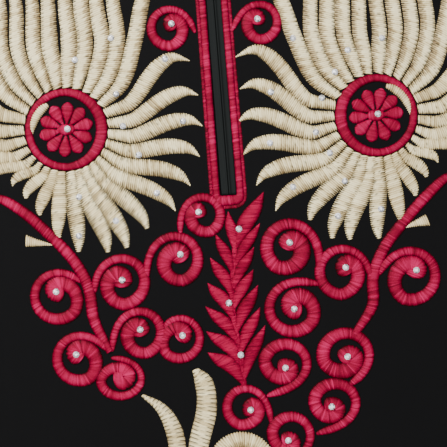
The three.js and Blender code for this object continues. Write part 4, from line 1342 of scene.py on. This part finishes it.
class ABAYA_OT_spray(bpy.types.Operator):
    """Stitch the leaf spray, the blades and the rosette"""
    bl_idname = "abaya.spray"
    bl_label = "Leaf spray and lower motifs"

    def execute(self, context):
        self.leaves(Stitching(300, *FILL))
        for number, (name, (points, halves)) in enumerate(BLADES.items()):
            blade = Stitching(310 + number, *SLITTED)
            halves = eased(halves, np.linspace(0, 1, 81))
            blade.stroke(curve_through(points, 80), halves, **STITCHES["blade"])
            blade.finish(name + "_stitched", "cream", name)
        self.rosette(Stitching(320), Stitching(321))
        return {"FINISHED"}

    def leaves(self, spray):
        stem_x, stem_y = zip(*STEM)
        for base, reach, rise, half, bow in LEAVES:
            x = float(np.interp(base, stem_y, stem_x))
            out = math.copysign(1, reach)
            lean = math.hypot(reach, rise)
            path = curve_through([
                (x - out * 0.3, base - 1),
                (x + reach / 2 - out * bow * rise / lean, base + rise / 2 + bow * abs(reach) / lean),
                (x + reach, base + rise),
            ], 40)
            spray.stroke(path, half * eased(LEAF_SHAPE, np.linspace(0, 1, 41)),
                         slant=LEAF_SLANT * out, **STITCHES["leaf"])
        spray.stroke(curve_through(STEM, 80), np.linspace(*STEM_HALF, 81), **STITCHES["stem"])
        spray.finish("spray", "leaf", "leaf_spray")

    def rosette(self, rosette, eye):
        x, y, radius, hole = (ROSETTE[key] for key in ("x", "y", "radius", "eye"))
        rosette.stroke(circle(x, y, (radius + hole) / 2, 90), np.full(90, (radius - hole) / 2),
                       closed=True, **STITCHES["rosette"])
        rosette.finish("rosette_ring", "cream", "rosette")
        eye.stroke(circle(x, y, hole / 2, 40), np.full(40, hole / 2 - 0.1), closed=True)
        eye.finish("rosette_middle", "bronze", "rosette_eye")


class ABAYA_OT_border(bpy.types.Operator):
    """Stitch the two bands of the slit's border"""
    bl_idname = "abaya.border"
    bl_label = "Slit border"

    def execute(self, context):
        border = Stitching(400, *SATIN)
        line, edge = border_line(*BORDER["line"]), border_line(*BORDER["edge"])
        at_foot = np.clip((SLIT["foot"] - line[:, 1]) / 2, 0, 1)
        halves = BORDER["half"] + BORDER["foot_swell"] * at_foot
        border.stroke(line, halves, **STITCHES["border"])
        border.stroke(edge, np.full(len(edge), BORDER["edge_half"]), **STITCHES["border_edge"])
        border.finish("border", "crimson", "slit_border")
        return {"FINISHED"}


def pick_faces(obj, test):
    """In edit mode, selects only the faces that pass the test."""
    bpy.ops.mesh.select_all(action="DESELECT")
    bpy.ops.object.mode_set(mode="OBJECT")
    for face in obj.data.polygons:
        face.select = test(face)
    bpy.ops.object.mode_set(mode="EDIT")


def cut_stone(radius, height):
    """One faceted stone, as its points from the base up and its faces."""
    bpy.ops.object.select_all(action="DESELECT")
    bpy.ops.mesh.primitive_cone_add(
        vertices=STONE["sides"], radius1=radius, radius2=radius * STONE["table"],
        depth=height * STONE["crown"], location=(0, 0, 0))
    cut = bpy.context.object
    bpy.ops.object.mode_set(mode="EDIT")
    pick_faces(cut, lambda face: face.normal.z < -UPRIGHT)
    bpy.ops.mesh.extrude_region_move(
        TRANSFORM_OT_translate={"value": (0, 0, -height * STONE["girdle"])})
    pick_faces(cut, lambda face: face.normal.z > UPRIGHT)
    bpy.ops.mesh.inset(thickness=radius * STONE["inset"], depth=radius * STONE["raise"])
    bpy.ops.object.mode_set(mode="OBJECT")
    points = np.array([v.co for v in cut.data.vertices])
    points[:, 2] -= points[:, 2].min()
    faces = [list(p.vertices) for p in cut.data.polygons]
    # Blender lists the extruded sides in no fixed order, so they are put in order round the stone.
    sides = [p.index for p in cut.data.polygons if abs(p.normal.z) < STONE["side_slope"]]
    turned = sorted((math.atan2(*cut.data.polygons[i].normal.xy), faces[i]) for i in sides)
    for i, (angle, face) in zip(sides, turned):
        faces[i] = face
    bpy.data.objects.remove(cut)
    return points, faces


class ABAYA_OT_stones(bpy.types.Operator):
    """Set the faceted rhinestones"""
    bl_idname = "abaya.stones"
    bl_label = "Rhinestones"

    def execute(self, context):
        trim = context.scene.abaya_trim
        base, polygons = cut_stone(trim.stone_radius * 1000, trim.stone_height * 1000)
        places = [(x, y, CREST - STONE["petal_sink"]) for x, y in PETAL_STONES]
        places += [(x, y, CREST) for x, y in MIDDLE_STONES]
        places += [(*scroll.eye, CREST - STONE["eye_sink"]) for name, scroll in SCROLLS.items()
                   if name not in BARE_EYES]
        random = np.random.default_rng(STONE["seed"])
        points, faces, tones, count = [], [], [], 0
        for place in places:
            turn = random.uniform(0, math.pi)
            c, s = math.cos(turn), math.sin(turn)
            spun = base @ np.array([[c, s, 0], [-s, c, 0], [0, 0, 1]])
            spun[:, 2] += spun[:, :2] @ random.uniform(-STONE["tilt"], STONE["tilt"], 2)
            for polygon in polygons:
                # painted reflection: how bright a glint each facet's colour shows
                tone = random.uniform(STONE["dimmest_glint"], 1) ** 0.6
                faces.append(list(range(count, count + len(polygon))))
                points.append(spun[polygon] + place)
                tones += [tone] * len(polygon)
                count += len(polygon)
        add_piece("rhinestones", np.vstack(points), faces, looks()["stone"], slot="rhinestone",
                  smooth=False, tone=tones)
        return {"FINISHED"}


# The stage, in metres and degrees of the frame. The camera looks straight down at the chest.
STAGE = {"floor": 40, "drop": 0.0005, "sky": (0.9, 0.93, 1), "sky_strength": 0.35}
VIEW = {"over": (-0.0047, 0.3865), "width": 0.2682, "turn": -4.5, "lens": 85, "sensor": 36}
LIGHTS = {
    "overhead": {"power": "soft_light", "size": 1.6, "place": (0.1, 0.45, 1.5), "aim": (0, 0.36, 0),
                 "spread": 180},
    "upper_left": {"power": "key_light", "size": 0.5, "place": (-0.75, 1.15, 0.95),
                   "aim": (0, 0.38, 0), "spread": 180},
    "skirt": {"power": "skirt_light", "size": 0.8, "place": (1.5, -1.0, 0.75), "aim": (0, -0.7, 0),
              "spread": 42},
}


class ABAYA_OT_stage(bpy.types.Operator):
    """Make the floor, the soft lights and the camera"""
    bl_idname = "abaya.stage"
    bl_label = "Floor, lights and camera"

    def execute(self, context):
        settings = context.scene.abaya_stage
        bpy.ops.object.select_all(action="DESELECT")
        bpy.ops.mesh.primitive_plane_add(size=STAGE["floor"], location=(0, 0, -STAGE["drop"]))
        floor = context.object
        floor.name = "floor"
        bpy.ops.object.transform_apply(location=True)
        floor.data.materials.append(floor_look("Pale floor", tuple(settings.floor)))
        for name, lamp in LIGHTS.items():
            self.light(name, getattr(settings, lamp["power"]), lamp)
        world = bpy.data.worlds.new("Studio")
        context.scene.world = world
        world.use_nodes = True
        sky = world.node_tree.nodes["Background"].inputs
        sky["Color"].default_value = (*STAGE["sky"], 1)
        sky["Strength"].default_value = STAGE["sky_strength"]
        camera = bpy.data.cameras.new("camera")
        camera.lens = VIEW["lens"]
        camera.sensor_width = VIEW["sensor"]
        view = bpy.data.objects.new("camera", camera)
        context.scene.collection.objects.link(view)
        height = CREST / 1000 + VIEW["width"] * camera.lens / camera.sensor_width
        view.location = (*VIEW["over"], height)
        view.rotation_euler = (0, 0, math.radians(VIEW["turn"]))
        context.scene.camera = view
        return {"FINISHED"}

    def light(self, name, power, lamp):
        data = bpy.data.lights.new(name, "AREA")
        data.energy = power
        data.size = lamp["size"]
        data.spread = math.radians(lamp["spread"])
        made = bpy.data.objects.new(name, data)
        bpy.context.scene.collection.objects.link(made)
        made.location = lamp["place"]
        toward = Vector(lamp["aim"]) - Vector(lamp["place"])
        made.rotation_euler = toward.to_track_quat("-Z", "Y").to_euler()


OPERATORS = [
    ABAYA_OT_body, ABAYA_OT_sleeves, ABAYA_OT_edges, ABAYA_OT_zip, ABAYA_OT_border, ABAYA_OT_flowers,
    ABAYA_OT_scrolls, ABAYA_OT_spray, ABAYA_OT_stones, ABAYA_OT_stage,
]


class ABAYA_PT_panel(bpy.types.Panel):
    """Lists the abaya's pieces"""
    bl_label = "Abaya"
    bl_idname = "ABAYA_PT_panel"
    bl_space_type = "VIEW_3D"
    bl_region_type = "UI"
    bl_category = "Abaya"

    def draw(self, context):
        for operator in OPERATORS:
            self.layout.operator(operator.bl_idname)


SETTINGS = {
    "abaya_cloth": AbayaCloth, "abaya_embroidery": AbayaEmbroidery, "abaya_trim": AbayaTrim,
    "abaya_stage": AbayaStage,
}


def register():
    for name, group in SETTINGS.items():
        bpy.utils.register_class(group)
        setattr(bpy.types.Scene, name, bpy.props.PointerProperty(type=group))
    for item in (*OPERATORS, ABAYA_PT_panel):
        bpy.utils.register_class(item)


def unregister():
    for item in (ABAYA_PT_panel, *reversed(OPERATORS)):
        bpy.utils.unregister_class(item)
    for name, group in reversed(SETTINGS.items()):
        delattr(bpy.types.Scene, name)
        bpy.utils.unregister_class(group)


def main():
    register()
    for operator in OPERATORS:
        group, action = operator.bl_idname.split(".")
        getattr(getattr(bpy.ops, group), action)()


if __name__ == "__main__":
    main()
